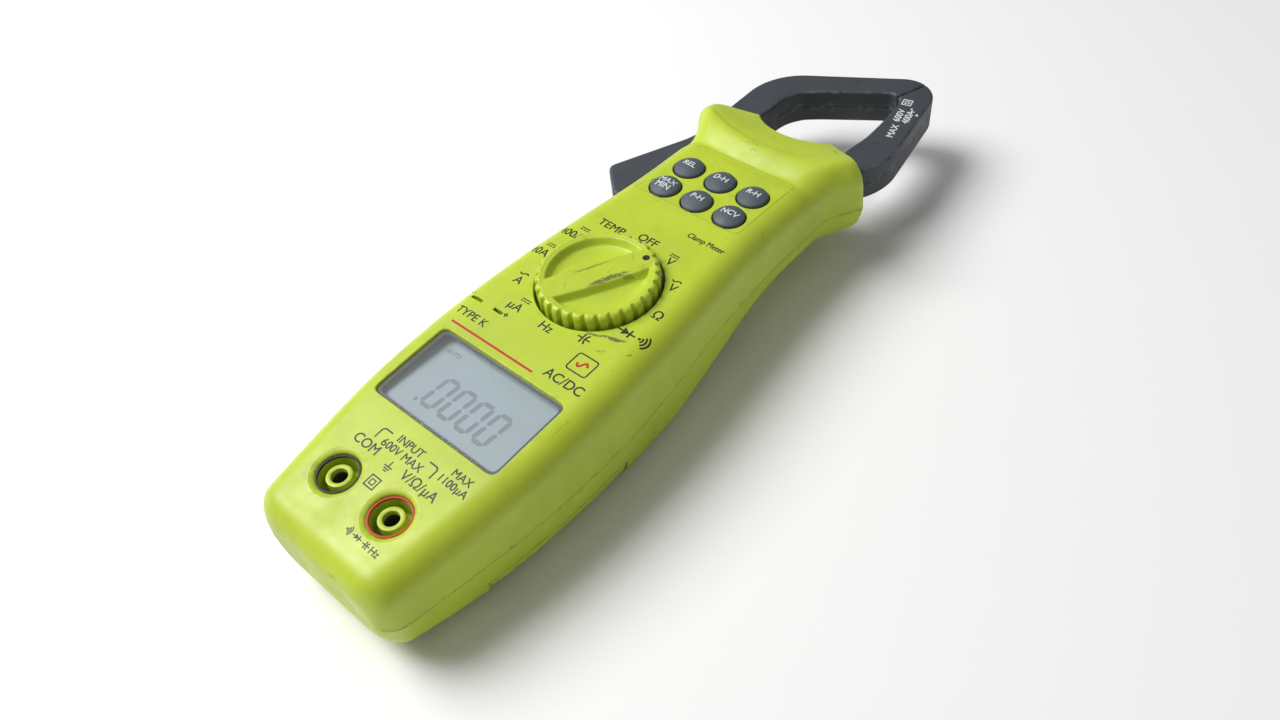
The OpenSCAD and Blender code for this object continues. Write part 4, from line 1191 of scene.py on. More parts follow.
def face_legends(sizes):
    """Everything printed in dark ink on the front face: ranges round the dial, socket and window marks."""
    h = sizes.letter
    volt_dc = combine(placed(letters("V", h), 0, -0.6), placed(direct_sign(2.8), -0.4, 1.3))
    volt_ac = combine(placed(letters("V", h), 0.2, -0.9), placed(wave_sign(2.8, 0.5, 0.32), -0.4, 1.5))
    micro = combine(placed(letters("µA", h), -0.6, -0.6), placed(direct_sign(3), 0.5, 1.9))
    amp_ac = combine(placed(letters("A", h), 0.1, -1.1), placed(wave_sign(2.8, 0.5, 0.32), -0.2, 1.4))
    dark = [
        placed(letters("OFF", h), -0.1, 39.4), placed(volt_dc, 10.1, 37), placed(volt_ac, 16.7, 30.2),
        placed(letters("Ω", h * 1.05), 20.2, 19.6), placed(diode_sign(1.4), 17.6, 10.7),
        placed(sound_sign(1.25), 21.6, 10.9),
        placed(capacitor_sign(1.3), 10.4, 2.9), placed(letters("Hz", h), -0.1, 0.2), placed(micro, -11.2, 1.3),
        placed(amp_ac, -18.0, 9.0), placed(letters("40A", h), -21.5, 19.4), placed(direct_sign(3), -20.2, 22.3),
        placed(letters("400A", h), -19.1, 29.4), placed(direct_sign(3), -17.0, 32.3),
        placed(letters("TEMP", h), -11.9, 37.8),
        placed(stroke([(-0.7, 0), (0.7, 0)], 0.3), -25.2, -1.6),
        placed(stroke([(-0.7, 0), (0.7, 0)], 0.3), -11.5, -3.0),
        placed(stroke([(0, -0.7), (0, 0.7)], 0.3), -11.5, -3.0),
        placed(letters("TYPE K", h * 0.92), -18.6, -8.3),
        placed(letters("Clamp Meter", 1.8, squeeze=0.85), 13.0, 47.6), placed(letters("AC/DC", 2.7), 16.0, -10.0),
        placed(letters("COM", h), -9.8, -50.6), placed(letters("600V MAX", 2.1), -0.3, -47.8),
        placed(letters("INPUT", 2.1), -0.3, -44.9),
        placed(letters("V/Ω/µA", h), 9.5, -51.0), placed(letters("MAX", 2.0), 16.2, -43.6),
        placed(letters("1100µA", 2.0), 15.8, -46.4),
        placed(earth_sign(), -0.5, -52.0), placed(square_sign(3.0, 0.3), -0.4, -56.8),
        placed(sound_sign(0.7), 4.2, -68.0), placed(diode_sign(0.75), 7.9, -68.1),
        placed(capacitor_sign(0.75), 11.1, -68.2),
        placed(letters("Hz", 1.75), 14.0, -68.2)]
    for s in (-1, 1):
        corner = [(s * 6.7, -45.1), *arc_points(s * 8.9, -46.0, 0.9, 90, 90 - s * 90, 6).tolist(), (s * 9.8, -48.3)]
        dark.append(stroke(corner if s > 0 else corner[::-1], 0.32))
    return print_piece("face_legends", dark, lambda x, y: skin_z(x, y), "case")


def face_accents():
    """Red rule under the probe mark, a straight stroke, and the red wave beside the window."""
    rule = [stroke([(x, -12.4) for x in np.linspace(-21.8, 7.4, 20)], 0.55)]
    rule.append(placed(wave_sign(3.2, 1.3, 0.55), 16.0, -3.6))
    return print_piece("face_red_marks", rule, lambda x, y: skin_z(x, y), "case")


def panel_outline():
    """Edge of the clear label round the keys, and the box round the red wave beside the window: two rounded
    rectangles drawn as strokes."""
    label_edge = stroke(spaced(rectangle(-1.2, 68.4, 37.2, 27.0, 2.0), 2.0), 0.16, True)
    wave_box = stroke(rectangle(16.0, -3.6, 6.4, 5.6, 1.0), 0.3, True)
    return [
        print_piece("key_panel_edge", [label_edge], lambda x, y: skin_z(x, y), "case", lift=0.02,
                    bold=0),
        print_piece("wave_box", [wave_box], lambda x, y: skin_z(x, y), "case")]


def key_legends():
    """White letters on the domed keys."""
    names = {"rel": ["REL"], "data_hold": ["D-H"], "range_hold": ["R-H"], "max_min": ["MAX", "MIN"],
             "peak_hold": ["P-H"],
             "voltage_detect": ["NCV"]}
    made = []
    for key, lines in names.items():
        node = "button_" + key
        x, y = node_centre(node)[:2]
        centre_z = float(node_box(node)[1][2]) - DOME_R
        step = 2.35
        lead = 0.45 if len(lines) == 1 else 1.35
        shapes = [placed(letters(line, 1.9, 0.96), x, y + lead - i * step) for i, line in enumerate(lines)]
        dome = lambda px, py, cx=x, cy=y, cz=centre_z: cz + np.sqrt(DOME_R**2 - (px - cx) ** 2 - (py - cy) ** 2)
        made.append(print_piece("key_" + key + "_letters", shapes, dome, "key_" + key, lift=0.045,
                                longest=0.7))
    return made


def jaw_legends():
    """White rating marks along the fixed jaw's arm."""
    shapes = [placed(letters("MAX", 2.1), 21.0, 126.8, 103), placed(letters("600V", 2.1), 18.4, 134.6, 103),
              placed(letters("400A", 2.1), 21.1, 135.2, 103), placed(square_sign(2.7, 0.28), 17.0, 141.6, 103),
              placed(filled([(-0.55, -0.5), (0.55, -0.5), (0, 0.55)]), 22.8, 137.6, 13),
              placed(wave_sign(1.6, 0.5, 0.24), 20.2, 139.0, 103)]
    top = lambda x, y: np.full(len(x), JAW_HIGH)
    return print_piece("jaw_ratings", shapes, top, "case", lift=0.03)


def dial_dot():
    """The dial's mark: a disc on its top, at an angle and radius from the axis."""
    a = math.radians(DOT_ANGLE)
    x, y = DIAL_X + DOT_RADIUS * math.cos(a), DIAL_Y + DOT_RADIUS * math.sin(a)
    top = lambda px, py: np.full(len(px), DIAL_FACE)
    return print_piece("dial_pointer", [filled(circle(x, y, 0.95, 28))], top, "dial", lift=0.03)


# ---------------------------------------------------------------- display

def digit_zero(x, y, w, h, thick, lean):
    """A seven-segment zero as six bars with pointed ends, leaning to the right."""
    g, t = thick * 0.14, thick
    def bar(p, q):
        p, q = np.array(p, float), np.array(q, float)
        d = (q - p) / np.linalg.norm(q - p)
        n = np.array([-d[1], d[0]]) * t / 2
        a, b = p + d * g, q - d * g
        return filled([a, a + d * t / 2 + n, b - d * t / 2 + n, b, b - d * t / 2 - n, a + d * t / 2 - n])
    ends = [((0, 0), (w, 0)), ((0, h), (w, h)), ((0, 0), (0, h / 2)), ((0, h / 2), (0, h)), ((w, 0), (w, h / 2)),
            ((w, h / 2), (w, h))]
    points, faces = combine(*[bar(p, q) for p, q in ends])
    points = points + np.stack([points[:, 1] * lean, 0 * points[:, 1]], -1)
    return points + (x, y), faces


def reading():
    """The digits on the display, a row of zeros, with the point before them."""
    digits = [digit_zero(-10.8 + i * 6.2, -33.9, 3.8, 9.4, 1.15, 0.06) for i in range(4)]
    digits.append(filled(circle(-12.4, -33.9, 0.55, 14)))
    top = lambda x, y: np.full(len(x), CELL_TOP)
    return print_piece("display_reading", digits, top, "case", lift=0.03, longest=20)


def annunciators():
    """Small word over the digits."""
    top = lambda x, y: np.full(len(x), CELL_TOP)
    return print_piece("display_small_marks", [placed(letters("AUTO", 1.2), -15.6, -18.2)], top, "case",
                       lift=0.03, longest=20)


def window_top(y):
    """Height of the clear window's top, a little below the bowed face."""
    return face_z(y) - 0.55


def display_mask(sizes):
    """Dark printed border just under the window's top, as a thin closed frame."""
    outer = spaced(rectangle(0, DISPLAY_Y, 42.5, 23.7, 2.0), 1.5)
    k = np.array([sizes.view_w / 42.5, sizes.view_h / 23.7])
    inner = (outer - (0, DISPLAY_Y)) * k + (0, DISPLAY_Y)
    rows = [np.column_stack([o, window_top(o[:, 1]) - drop]) for o,
            drop in ((outer, 0.36), (outer, 0.3), (inner, 0.3), (inner, 0.36))]
    mesh = raw_mesh("display_border", rows, grid_quads(4, len(outer), True, True).tolist())
    obj = make_object("display_border", mesh)
    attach(obj, "case")
    return obj


def glass_piece():
    """Display cell: a plate that fills the holder up to just under the window."""
    low = float(node_box("lcd_glass")[0][2])
    plate = spaced(rectangle(0, DISPLAY_Y, 44.8, 26.0, 0.6), 1.5)
    levels = [(0, low), (0, CELL_TOP - 0.15), (-0.15, CELL_TOP), (-0.6, CELL_TOP)]
    return finish_piece(loft("display_cell", prism_rows(plate, levels)), "case", ["lcd_glass"])


def window_piece():
    """Clear window: a polished plate, its top bowed like the face and softened at the edge."""
    plate = spaced(rectangle(0, DISPLAY_Y, 42.7, 23.9, 2.05), 1.5)
    rows = list(prism_rows(plate, [(0, CELL_TOP + 0.25)]))
    for offset, drop in ((0, 0.25), (-0.07, 0.07), (-0.25, 0)):
        ring = inset_outline(plate, offset)
        rows.append(np.column_stack([ring, window_top(ring[:, 1]) - drop]))
    for k in (0.75, 0.5, 0.25, 0.02):
        ring = (inset_outline(plate, -0.25) - (0, DISPLAY_Y)) * k + (0, DISPLAY_Y)
        rows.append(np.column_stack([ring, window_top(ring[:, 1])]))
    body = loft("display_window", rows)
    return finish_piece(body, "case", ["lcd_lens"], sharp=40)


# ---------------------------------------------------------------- settings

def length(name, description, mm):
    """A length that a user can set, given in millimetres."""
    return bpy.props.FloatProperty(name=name, description=description, default=mm * MM, unit="LENGTH", precision=5)


def colour(name, description, srgb):
    """A colour that a user can set, given as screen values."""
    return bpy.props.FloatVectorProperty(
        name=name, description=description, default=linear(srgb), size=4, min=0, max=1, subtype="COLOR")


def factor(name, description, value):
    """A share from 0 to 1 that a user can set."""
    return bpy.props.FloatProperty(name=name, description=description, default=value, min=0, max=1, subtype="FACTOR")


class CaseSettings(bpy.types.PropertyGroup):
    """Sizes and finish of the moulded case."""
    key_hole_r: length("Key hole radius", "Radius of the six holes that the keys stand in", 4.75)
    dial_hole_r: length("Dial hole radius", "Radius of the well that the range dial turns in", 17.15)
    window_w: length("Window width", "Width of the display opening", 43)
    window_h: length("Window height", "Height of the display opening", 24.2)
    window_edge: length("Window edge", "Rounding round the display opening", 0.5)
    ring_width: length("Ring width", "Width of the coloured ring round each socket", 0.6)
    head_edge: length("Head edge", "Rounding where the head meets the jaws", 0.8)
    shade: colour("Case colour", "Colour of the moulded case and dial", (196, 216, 58))
    dirt: colour("Dirt colour", "Colour of grime and rubbed marks on the case", (92, 98, 66))
    roughness: factor("Case roughness", "Roughness of the moulded case", 0.42)
    wear: factor("Case wear", "How much of the case's edges is rubbed pale", 0.12)
    grime: factor("Case grime", "Strength of handling dirt on the case", 0.5)


class JawSettings(bpy.types.PropertyGroup):
    """Sizes and finish of the two jaws."""
    edge: length("Outer edge", "Rounding along the outside of the jaws", 0.9)
    seam: length("Seam edge", "Rounding where a jaw's front and rear shells meet", 0.14)
    tip_gap: length("Tip gap", "Gap between the closed jaw tips", 0.3)
    shade: colour("Jaw colour", "Colour of the jaws", (67, 71, 78))
    worn: colour("Worn colour", "Colour of rubbed jaw edges", (118, 122, 128))
    roughness: factor("Jaw roughness", "Roughness of the jaws", 0.5)


class DialSettings(bpy.types.PropertyGroup):
    """Sizes of the range dial."""
    lobes: bpy.props.IntProperty(name="Lobes", description="Number of grip lobes round the dial", default=30, min=6)
    groove_depth: length("Groove depth", "Depth of the grooves between lobes", 0.62)
    groove_half: length("Groove half width", "Half the width of a groove", 0.75)
    rim_edge: length("Rim edge", "Rounding round the dial's top", 1.3)
    pocket_r: length("Pocket radius", "Outer radius of the two finger pockets", 13.9)
    pocket_depth: length("Pocket depth", "Depth of the finger pockets", 2.8)
    bar_half: length("Bar half width", "Half the width of the grip bar", 3.3)


class KeySettings(bpy.types.PropertyGroup):
    """Sizes and colours of the keys."""
    key_r: length("Key radius", "Radius of each round key", 4.4)
    shoulder: length("Key edge", "Rounding round each key's top", 0.75)
    shade: colour("Key colour", "Colour of the rubber keys", (80, 90, 100))
    letter: colour("Key letter colour", "Colour of the letters on the keys", (226, 230, 232))


class DisplaySettings(bpy.types.PropertyGroup):
    """Sizes and colours of the display."""
    view_w: length("View width", "Width of the glass left clear by the border", 41.2)
    view_h: length("View height", "Height of the glass left clear by the border", 22.4)
    glass: colour("Glass colour", "Colour of the display glass", (160, 178, 186))
    segment: colour("Segment colour", "Colour of the segments", (106, 121, 132))
    border: colour("Border colour", "Colour of the printed border", (42, 46, 54))


class LegendSettings(bpy.types.PropertyGroup):
    """Printed marks on the face."""
    letter: length("Letter height", "Height of the capitals round the dial", 2.55)
    ink: colour("Ink colour", "Colour of the dark printed marks", (38, 42, 34))
    red: colour("Accent colour", "Colour of the red printed marks and ring", (188, 50, 26))


class StageSettings(bpy.types.PropertyGroup):
    """Floor and light."""
    floor: colour("Floor colour", "Colour of the floor", (254, 254, 254))
    key_power: bpy.props.FloatProperty(name="Main light", description="Power of the large soft light", default=4.2,
                                       unit="POWER")
    sun: bpy.props.FloatProperty(name="Even light", description="Strength of the even light over the whole floor",
                                 default=1.15)
    fill_power: bpy.props.FloatProperty(name="Fill light", description="Power of the weaker light", default=0.05,
                                        unit="POWER")
    sky: bpy.props.FloatProperty(name="Sky strength", description="Strength of the even white surround", default=0.2)


GROUPS_OF_SETTINGS = {
    "case": CaseSettings, "jaw": JawSettings, "dial": DialSettings, "key": KeySettings, "display": DisplaySettings,
    "legend": LegendSettings, "stage": StageSettings}


class Sizes:
    """A settings group's values, with lengths turned into millimetres and colours into tuples."""

    def __init__(self, group):
        for key, prop in group.bl_rna.properties.items():
            if key not in ("rna_type", "name"):
                value = getattr(group, key)
                if prop.unit == "LENGTH":
                    value = value / MM
                elif prop.subtype == "COLOR":
                    value = tuple(value)
                setattr(self, key, value)


def sizes_of(context, key):
    """The values of one group of settings."""
    return Sizes(getattr(context.scene, "clamp_" + key))


# ---------------------------------------------------------------- finishes

CASE_SCUFFS = [
    (12.2, 5.6, 33.8, 22, 6.2, 0.9, 0.5, 0.85), (16.9, 7.2, 33.8, 17, 6.2, 1.15, 0.25, 0.95),
    (16.5, 2.3, 33.8, 25, 2.8, 0.5, 0, 0.5),
    (23.0, 5.5, 33.0, 40, 1.8, 0.5, 0, 0.6), (17.5, 101.0, 31.5, -25, 2.2, 0.9, 0, 0.6),
    (-16.5, 60.0, 33.4, 70, 1.6, 0.35, 0, 0.7),
    (-18.2, 57.0, 33.3, 84, 5.0, 0.3, 0, 0.5), (-17.0, 80.8, 33.0, 8, 3.4, 0.3, 0, 0.6),
    (-9.0, 53.2, 33.7, 70, 1.4, 0.3, 0, 0.7),
    (1.2, 26.0, 34.0, 40, 2.5, 0.3, 0, 0.3), (-24.8, -31.0, 31.5, 85, 9.0, 0.35, 0, 0.35),
    (24.5, -20, 31.8, 88, 7.0, 0.3, 0, 0.3),
    (-24.5, -66, 26.5, 75, 2.6, 0.4, 0.2, 0.5), (-21.5, -71, 26.5, 50, 2.4, 0.4, 0, 0.4),
    (8.0, -77, 24.0, 5, 3.5, 0.5, 0, 0.3),
    (4.9, -63.6, 30.4, 50, 2.2, 0.3, 0, 0.4), (-2.0, 88, 35.0, 10, 5, 0.35, 0, 0.3)]
DIAL_SCUFFS = [(2.0, -3.1, 3.4, 11.5, 1.5, -0.2, 0.85), (-0.5, 2.6, 2.8, 11.0, 0.9, 0.25, 0.6),
               (6.8, -4.1, -10, 3.6, 0.9, 0, 0.5),
               (-9.0, -1.0, 65, 2.6, 0.5, 0, 0.35), (10.2, 1.6, 80, 2.4, 0.4, 0, 0.4),
               (3.4, -0.6, 20, 3.0, 0.35, 0, 0.3)]
JAW_SCUFFS = [(-1.7, 143, 25, 62, 2.8, 0.4, 0, 0.8), (-23.4, 118, 25, 5, 2.6, 0.35, 0, 0.8),
              (20.4, 119, 25, 20, 2.4, 0.35, 0, 0.8),
              (-8.5, 139.2, 25, 20, 3.2, 0.3, 0, 0.4), (19.6, 146.6, 25, -50, 2.2, 0.3, 0, 0.5)]
PALE, DARK = (0.66, 0.76, 0.14, 1.0), (0.012, 0.012, 0.012, 1.0)
LOOKS = {}


def case_look(context):
    s = sizes_of(context, "case")
    return moulded_plastic("case_plastic", s.shade, s.roughness, PALE, s.dirt, s.wear, s.grime, scuffs=CASE_SCUFFS,
                           edge_dark=0.35)


def dial_look(context):
    s = sizes_of(context, "case")
    turn = math.radians(DOT_ANGLE)
    scuffs = [(DIAL_X + u * math.cos(turn) - v * math.sin(turn), DIAL_Y + u * math.sin(turn) + v * math.cos(turn),
               DIAL_TOP,
               DOT_ANGLE + angle, run, width, bend, strength) for u, v, angle, run, width, bend,
               strength in DIAL_SCUFFS]
    return moulded_plastic("dial_plastic", s.shade, s.roughness - 0.04, PALE, s.dirt, s.wear, s.grime, scuffs=scuffs,
                           edge_dark=0.3)


def jaw_look(context):
    s = sizes_of(context, "jaw")
    return moulded_plastic("jaw_plastic", s.shade, s.roughness, s.worn, DARK, 0.22, 0.25, grain=2.2, depth=0.02,
                           scuffs=JAW_SCUFFS)


def key_look(context):
    s = sizes_of(context, "key")
    return moulded_plastic("key_rubber", s.shade, 0.55, (0.25, 0.28, 0.32, 1), (0.3, 0.32, 0.34, 1), 0.3, 0.3,
                           grain=4, depth=0.008)


def ink_look(context):
    return printed_ink("dark_ink", sizes_of(context, "legend").ink)


def red_look(context):
    return printed_ink("red_ink", sizes_of(context, "legend").red)


def white_look(context):
    return printed_ink("white_ink", sizes_of(context, "key").letter)


def outline_look(context):
    shade = sizes_of(context, "case").shade
    return printed_ink("panel_edge_ink", tuple(c * 0.55 for c in shade[:3]) + (1.0,))


def border_look(context):
    return plain_finish("window_border", sizes_of(context, "display").border, 0.45, bump_mm=0.002)


def segment_look(context):
    return plain_finish("display_segments", sizes_of(context, "display").segment, 0.5, bump_mm=0.001)


def glass_look(context):
    """Display glass: reflective grey-blue polariser with a soft cloudiness."""
    shade = sizes_of(context, "display").glass
    material, tree, shader, coords = start_material("display_polariser", 0.3)
    cloud = ramp(tree, noise(tree, coords, 60.0, 3.0), 0.3, 0.7)
    deep = tuple(0.9 * c for c in shade[:3]) + (1.0,)
    tree.links.new(blend_colour(tree, cloud, deep, shade), shader["Base Color"])
    add_bump(tree, shader, noise(tree, coords, 300.0, 2.0), 0.004)
    return material


def window_look(context):
    """Clear acrylic window: mostly see-through, with a polished reflecting face and faint scratches."""
    material, tree, shader, coords = start_material("clear_window", 0.08, IOR=1.49, Alpha=0.12)
    shader["Base Color"].default_value = (0.8, 0.85, 0.88, 1)
    stretch = put(tree, "ShaderNodeMapping", {0: coords, "Rotation": (0, 0, 0.6), "Scale": (1, 9, 1)}).outputs[0]
    scratch = ramp(tree, noise(tree, stretch, 500.0, 4.0, 0.7), 0.66, 0.72)
    tree.links.new(maths(tree, "ADD", maths(tree, "MULTIPLY", scratch, 0.1), 0.12), shader["Alpha"])
    tree.links.new(maths(tree, "ADD", maths(tree, "MULTIPLY", scratch, 0.3), 0.06), shader["Roughness"])
    return material


# Plated metal for the sockets and contacts: its colour is darkened and tinted olive past real brass or nickel
# plating, as painted shade for the deep socket bores.
def plating_with_painted_shade_look(context):
    return plain_finish("socket_plating", (0.4, 0.41, 0.33, 1), 0.3, 1.0, 0.35, 0.01, 700.0)


def steel_look(context):
    return plain_finish("screw_steel", (0.42, 0.43, 0.45, 1), 0.34, 1.0, 0.3, 0.012, 900.0)


def ground_look(context):
    return plain_finish("ground_steel", (0.56, 0.57, 0.58, 1), 0.22, 1.0, 0.15, 0.006, 1500.0)


def spring_look(context):
    return plain_finish("spring_steel", (0.35, 0.36, 0.38, 1), 0.38, 1.0, 0.25, 0.008, 1200.0)


def black_look(context):
    return plain_finish("black_moulding", (0.02, 0.021, 0.023, 1), 0.45, 0.0, 0.3, 0.012, 1400.0)


def board_look(context):
    """Circuit board: green laminate with broad tracks and small pads showing through the mask."""
    material, tree, shader, coords = start_material("board_laminate", 0.35)
    cells = put(tree, "ShaderNodeTexVoronoi", {"Vector": coords, "Scale": 420.0}, distance="CHEBYCHEV", feature="F1")
    tracks = ramp(tree, cells.outputs["Distance"], 0.42, 0.44)
    tone = blend_colour(tree, tracks, (0.015, 0.12, 0.045, 1), (0.03, 0.2, 0.07, 1))
    tree.links.new(tone, shader["Base Color"])
    shader["Coat Weight"].default_value = 0.4
    add_bump(tree, shader, tracks, 0.03)
    return material


def zebra_look(context):
    """Elastomer strip: thin black conducting layers in pale silicone."""
    material, tree, shader, coords = start_material("striped_elastomer", 0.6)
    wave = put(tree, "ShaderNodeTexWave", {"Vector": coords, "Scale": 900.0}, wave_type="BANDS", bands_direction="X")
    tree.links.new(blend_colour(tree, wave.outputs["Fac"], (0.02, 0.02, 0.02, 1), (0.7, 0.68, 0.62, 1)),
                   shader["Base Color"])
    return material


def battery_look(context):
    """Battery: dark wrapped can with a copper-coloured end band along its length."""
    material, tree, shader, coords = start_material("battery_can", 0.32)
    x = put(tree, "ShaderNodeSeparateXYZ", {0: coords}).outputs[0]
    band = ramp(tree, x, 0.006, 0.0062)
    grain = noise(tree, coords, 700.0, 3.0)
    tone = blend_colour(tree, band, (0.02, 0.022, 0.026, 1), (0.55, 0.28, 0.1, 1))
    tree.links.new(blend_colour(tree, maths(tree, "MULTIPLY", grain, 0.2), tone, (0.3, 0.3, 0.3, 1)),
                   shader["Base Color"])
    shader["Metallic"].default_value = 0.6
    add_bump(tree, shader, grain, 0.01)
    return material


def lamination_look(context):
    """Stacked steel sheets: fine lines across the stack's height."""
    material, tree, shader, coords = start_material("core_laminations", 0.4, 1.0)
    wave = put(tree, "ShaderNodeTexWave", {"Vector": coords, "Scale": 640.0, "Distortion": 0.4}, wave_type="BANDS",
               bands_direction="Z")
    fac = wave.outputs["Fac"]
    tree.links.new(blend_colour(tree, fac, (0.16, 0.15, 0.14, 1), (0.4, 0.39, 0.37, 1)), shader["Base Color"])
    add_bump(tree, shader, fac, 0.05)
    return material


def rotor_look(context):
    return plain_finish("rotor_plastic", (0.72, 0.72, 0.68, 1), 0.4, 0.0, 0.12, 0.01, 900.0)


def chip_look(context):
    return plain_finish("chip_mould", (0.018, 0.018, 0.02, 1), 0.55, 0.0, 0.4, 0.02, 2200.0)


LOOK_MAKERS = {
    "case": case_look, "dial": dial_look, "jaw": jaw_look, "key": key_look, "ink": ink_look, "red": red_look,
    "white": white_look,
    "outline": outline_look, "border": border_look, "segment": segment_look, "glass": glass_look,
    "window": window_look,
    "plating_with_painted_shade": plating_with_painted_shade_look, "steel": steel_look, "ground": ground_look, "spring": spring_look, "black": black_look,
    "board": board_look, "zebra": zebra_look, "battery": battery_look, "lamination": lamination_look,
    "rotor": rotor_look,
    "chip": chip_look}
# The sockets and contacts take the plated metal whose darkened colour is painted shade for the socket bores.
NODE_LOOKS = {
    "battery": "battery", "battery_cover_screw": "steel", "battery_snap": "black", "board_header": "black",
    "board_screws": "steel",
    "buzzer": "black", "case_screws": "steel", "com_ring": "black", "com_socket": "plating_with_painted_shade", "detent_balls": "ground",
    "detent_springs": "spring", "dial_rotor": "rotor", "fixed_core": "lamination", "fixed_jaw_screws": "steel",
    "hall_sensor": "chip", "jaw_lever_screws": "steel", "jaw_pivot_pin": "ground", "jaw_spring": "spring",
    "key_board": "board",
    "lcd_holder": "black", "main_board": "board", "meter_chip": "chip", "moving_core": "lamination",
    "probe_contacts": "plating_with_painted_shade", "probe_socket_block": "black", "tact_switches": "steel", "volt_ring": "red",
    "volt_socket": "plating_with_painted_shade",
    "wiper_contacts": "plating_with_painted_shade", "zebra_strips": "zebra"}


def look(context, name):
    """The named material, made from the settings the first time it is asked for."""
    if name not in LOOKS:
        LOOKS[name] = LOOK_MAKERS[name](context)
    return LOOKS[name]


def paint_all(context, objects, name):
    """Gives each object the finish of that name."""
    for obj in objects if isinstance(objects, (list, tuple)) else [objects]:
        paint(obj, look(context, name))


# ---------------------------------------------------------------- operators

class CLAMP_OT_front_case(bpy.types.Operator):
    """Build the front half of the case, with its window, dial well, key holes and sockets"""
    bl_idname = "clamp.front_case"
    bl_label = "Front case"

    def execute(self, context):
        sizes = sizes_of(context, "case")
        paint_all(context, front_case_piece(sizes), "case")
        com, volt = socket_ring_pieces(sizes)
        paint_all(context, com, "black")
        paint_all(context, volt, "red")
        return {"FINISHED"}


class CLAMP_OT_rear_case(bpy.types.Operator):
    """Build the rear half of the case and the battery door"""
    bl_idname = "clamp.rear_case"
    bl_label = "Rear case and door"

    def execute(self, context):
        sizes = sizes_of(context, "case")
        paint_all(context, [rear_case_piece(sizes), battery_door_piece()], "case")
        return {"FINISHED"}


class CLAMP_OT_jaws(bpy.types.Operator):
    """Build the shells of the moving and fixed jaws"""
    bl_idname = "clamp.jaws"
    bl_label = "Jaws"

    def execute(self, context):
        paint_all(context, jaw_pieces(sizes_of(context, "jaw")), "jaw")
        return {"FINISHED"}


class CLAMP_OT_dial(bpy.types.Operator):
    """Build the range dial and its pointer dot"""
    bl_idname = "clamp.dial"
    bl_label = "Range dial"

    def execute(self, context):
        sizes = sizes_of(context, "dial")
        paint_all(context, dial_piece(sizes), "dial")
        paint_all(context, dial_dot(), "ink")
        return {"FINISHED"}


class CLAMP_OT_keys(bpy.types.Operator):
    """Build the six domed keys and the letters on them"""
    bl_idname = "clamp.keys"
    bl_label = "Keys"

    def execute(self, context):
        sizes = sizes_of(context, "key")
        paint_all(context, key_pieces(sizes), "key")
        paint_all(context, key_legends(), "white")
        return {"FINISHED"}


class CLAMP_OT_display(bpy.types.Operator):
    """Build the clear window, its border and the segments on the glass"""
    bl_idname = "clamp.display"
    bl_label = "Display"

    def execute(self, context):
        sizes = sizes_of(context, "display")
        paint_all(context, window_piece(), "window")
        paint_all(context, glass_piece(), "glass")
        paint_all(context, display_mask(sizes), "border")
        paint_all(context, [reading(), annunciators()], "segment")
        return {"FINISHED"}


class CLAMP_OT_legends(bpy.types.Operator):
    """Lay the printed marks on the case and the jaws"""
    bl_idname = "clamp.legends"
    bl_label = "Printed marks"

    def execute(self, context):
        sizes = sizes_of(context, "legend")
        edge, wave_box = panel_outline()
        paint_all(context, [face_legends(sizes), wave_box], "ink")
        paint_all(context, face_accents(), "red")
        paint_all(context, edge, "outline")
        paint_all(context, jaw_legends(), "white")
        return {"FINISHED"}


class CLAMP_OT_frame_finishes(bpy.types.Operator):
    """Give every frame part that stays in view its finish"""
    bl_idname = "clamp.frame_finishes"
    bl_label = "Frame finishes"

    def execute(self, context):
        for node, name in NODE_LOOKS.items():
            paint_all(context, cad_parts[node], name)
        return {"FINISHED"}


class CLAMP_OT_stage(bpy.types.Operator):
    """Lay the floor, the soft lights and the camera"""
    bl_idname = "clamp.stage"
    bl_label = "Stage"

    def execute(self, context):
        settings = context.scene.clamp_stage
        corners = np.column_stack([rectangle(0, 0, 18000, 18000, 0), np.full(4, -0.05)])
        floor = make_object("floor", raw_mesh("floor", corners, [(0, 1, 2, 3)]))
        paint(floor, plain_finish("floor_paper", tuple(settings.floor), 0.9, 0.0, 0.01, 0.0, 40.0))
        add_light("main_light", (-420, -160, 620), (0, 10, 15), 0.5, settings.key_power)
        add_light("fill_light", (380, 420, 500), (0, 10, 15), 0.45, settings.fill_power)
        add_sun((-420, -160, 620), settings.sun)
        context.scene.world = even_sky(settings.sky)
        context.scene.view_settings.view_transform = "Standard"
        add_camera()
        return {"FINISHED"}


def aimed(obj, place, target, up=(0, 0, 1)):
    """Stands obj at place with its -Z towards target; lengths are millimetres."""
    place, target = Vector(place) * MM, Vector(target) * MM
    back = (place - target).normalized()
    right = Vector(up).cross(back).normalized()
    turn = Matrix((right, back.cross(right), back)).transposed().to_4x4()
    obj.matrix_world = Matrix.Translation(place) @ turn


def add_light(name, place, target, size, power):
    """A soft round light aimed at a point, on the stage."""
    data = bpy.data.lights.new(name, "AREA")
    data.shape, data.size, data.energy = "DISK", size, power
    obj = make_object(name, data)
    aimed(obj, place, target)


def add_sun(place, strength):
    """An even light from one direction, on the stage."""
    data = bpy.data.lights.new("even_light", "SUN")
    data.energy, data.angle = strength, math.radians(SUN_SPREAD)
    obj = make_object("even_light", data)
    aimed(obj, place, (0, 10, 15))


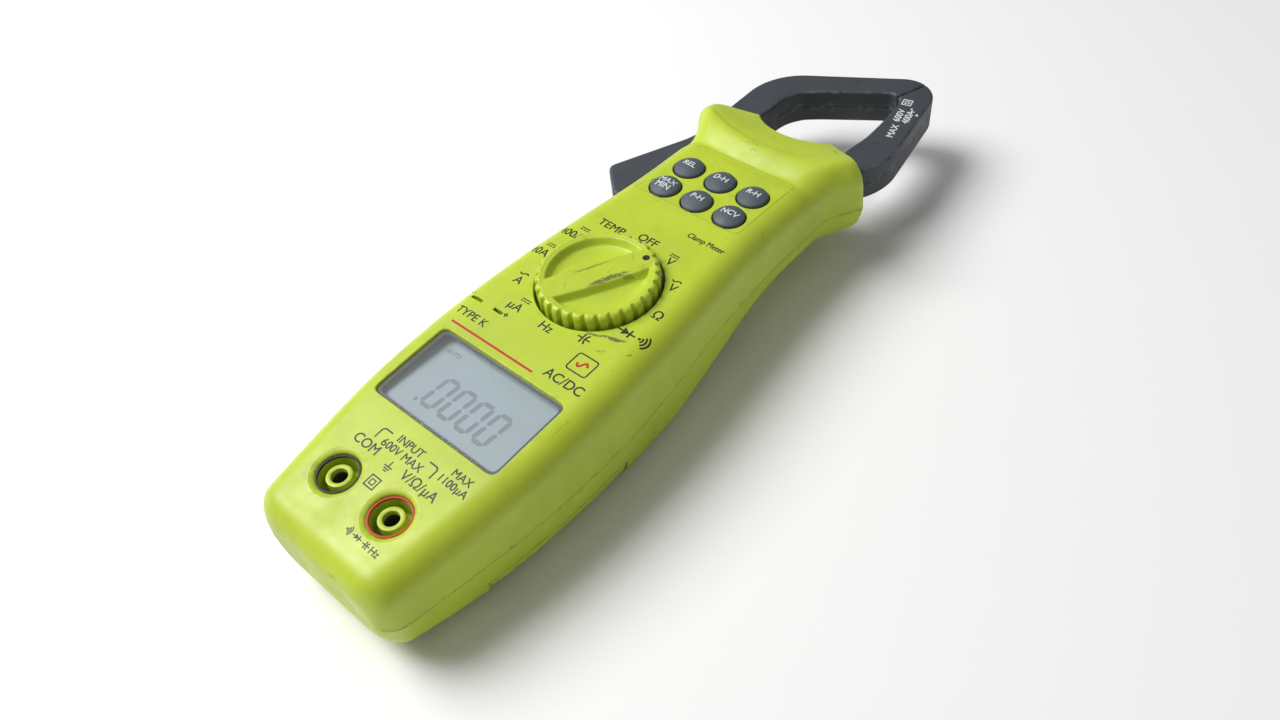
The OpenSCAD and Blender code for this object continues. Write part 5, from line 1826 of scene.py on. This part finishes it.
def even_sky(strength):
    """White surround: full white to the eye, and weaker as a light."""
    world = bpy.data.worlds.new("even_sky")
    world.use_nodes = True
    tree = world.node_tree
    back = tree.nodes["Background"]
    back.inputs[0].default_value = (1, 1, 1, 1)
    seen = tree.nodes.new("ShaderNodeLightPath").outputs["Is Camera Ray"]
    tree.links.new(maths(tree, "ADD", maths(tree, "MULTIPLY", seen, 0.98 - strength), strength), back.inputs[1])
    return world


def add_camera():
    """The scene's camera."""
    data = bpy.data.cameras.new("camera")
    data.lens, data.sensor_width, data.clip_start = CAMERA_LENS, CAMERA_SENSOR, CAMERA_NEAR
    obj = make_object("camera", data)
    place = Vector(CAMERA_PLACE)
    aimed(obj, place, place + 100 * Vector(CAMERA_AIM), CAMERA_UP)
    bpy.context.scene.camera = obj


STEPS = [CLAMP_OT_front_case, CLAMP_OT_rear_case, CLAMP_OT_jaws, CLAMP_OT_dial, CLAMP_OT_keys, CLAMP_OT_display,
         CLAMP_OT_legends, CLAMP_OT_frame_finishes, CLAMP_OT_stage]


class CLAMP_PT_panel(bpy.types.Panel):
    """The build steps and the settings they read"""
    bl_idname = "CLAMP_PT_panel"
    bl_label = "Clamp meter"
    bl_space_type = "VIEW_3D"
    bl_region_type = "UI"
    bl_category = "Clamp meter"

    def draw(self, context):
        for step in STEPS:
            self.layout.operator(step.bl_idname)
        for key, group in GROUPS_OF_SETTINGS.items():
            group_box = self.layout.box()
            group_box.label(text=key.capitalize())
            for name in group.__annotations__:
                group_box.prop(getattr(context.scene, "clamp_" + key), name)


def register():
    """Registers the classes and hangs the settings on the scene."""
    for cls in [*GROUPS_OF_SETTINGS.values(), *STEPS, CLAMP_PT_panel]:
        bpy.utils.register_class(cls)
    for key, group in GROUPS_OF_SETTINGS.items():
        setattr(bpy.types.Scene, "clamp_" + key, bpy.props.PointerProperty(type=group))


def unregister():
    """Takes the settings and classes away again."""
    for key in GROUPS_OF_SETTINGS:
        delattr(bpy.types.Scene, "clamp_" + key)
    for cls in reversed([*GROUPS_OF_SETTINGS.values(), *STEPS, CLAMP_PT_panel]):
        bpy.utils.unregister_class(cls)


def main():
    """Builds every piece and the stage."""
    register()
    for step in STEPS:
        group, name = step.bl_idname.split(".")
        getattr(getattr(bpy.ops, group), name)()


if __name__ == "__main__":
    main()
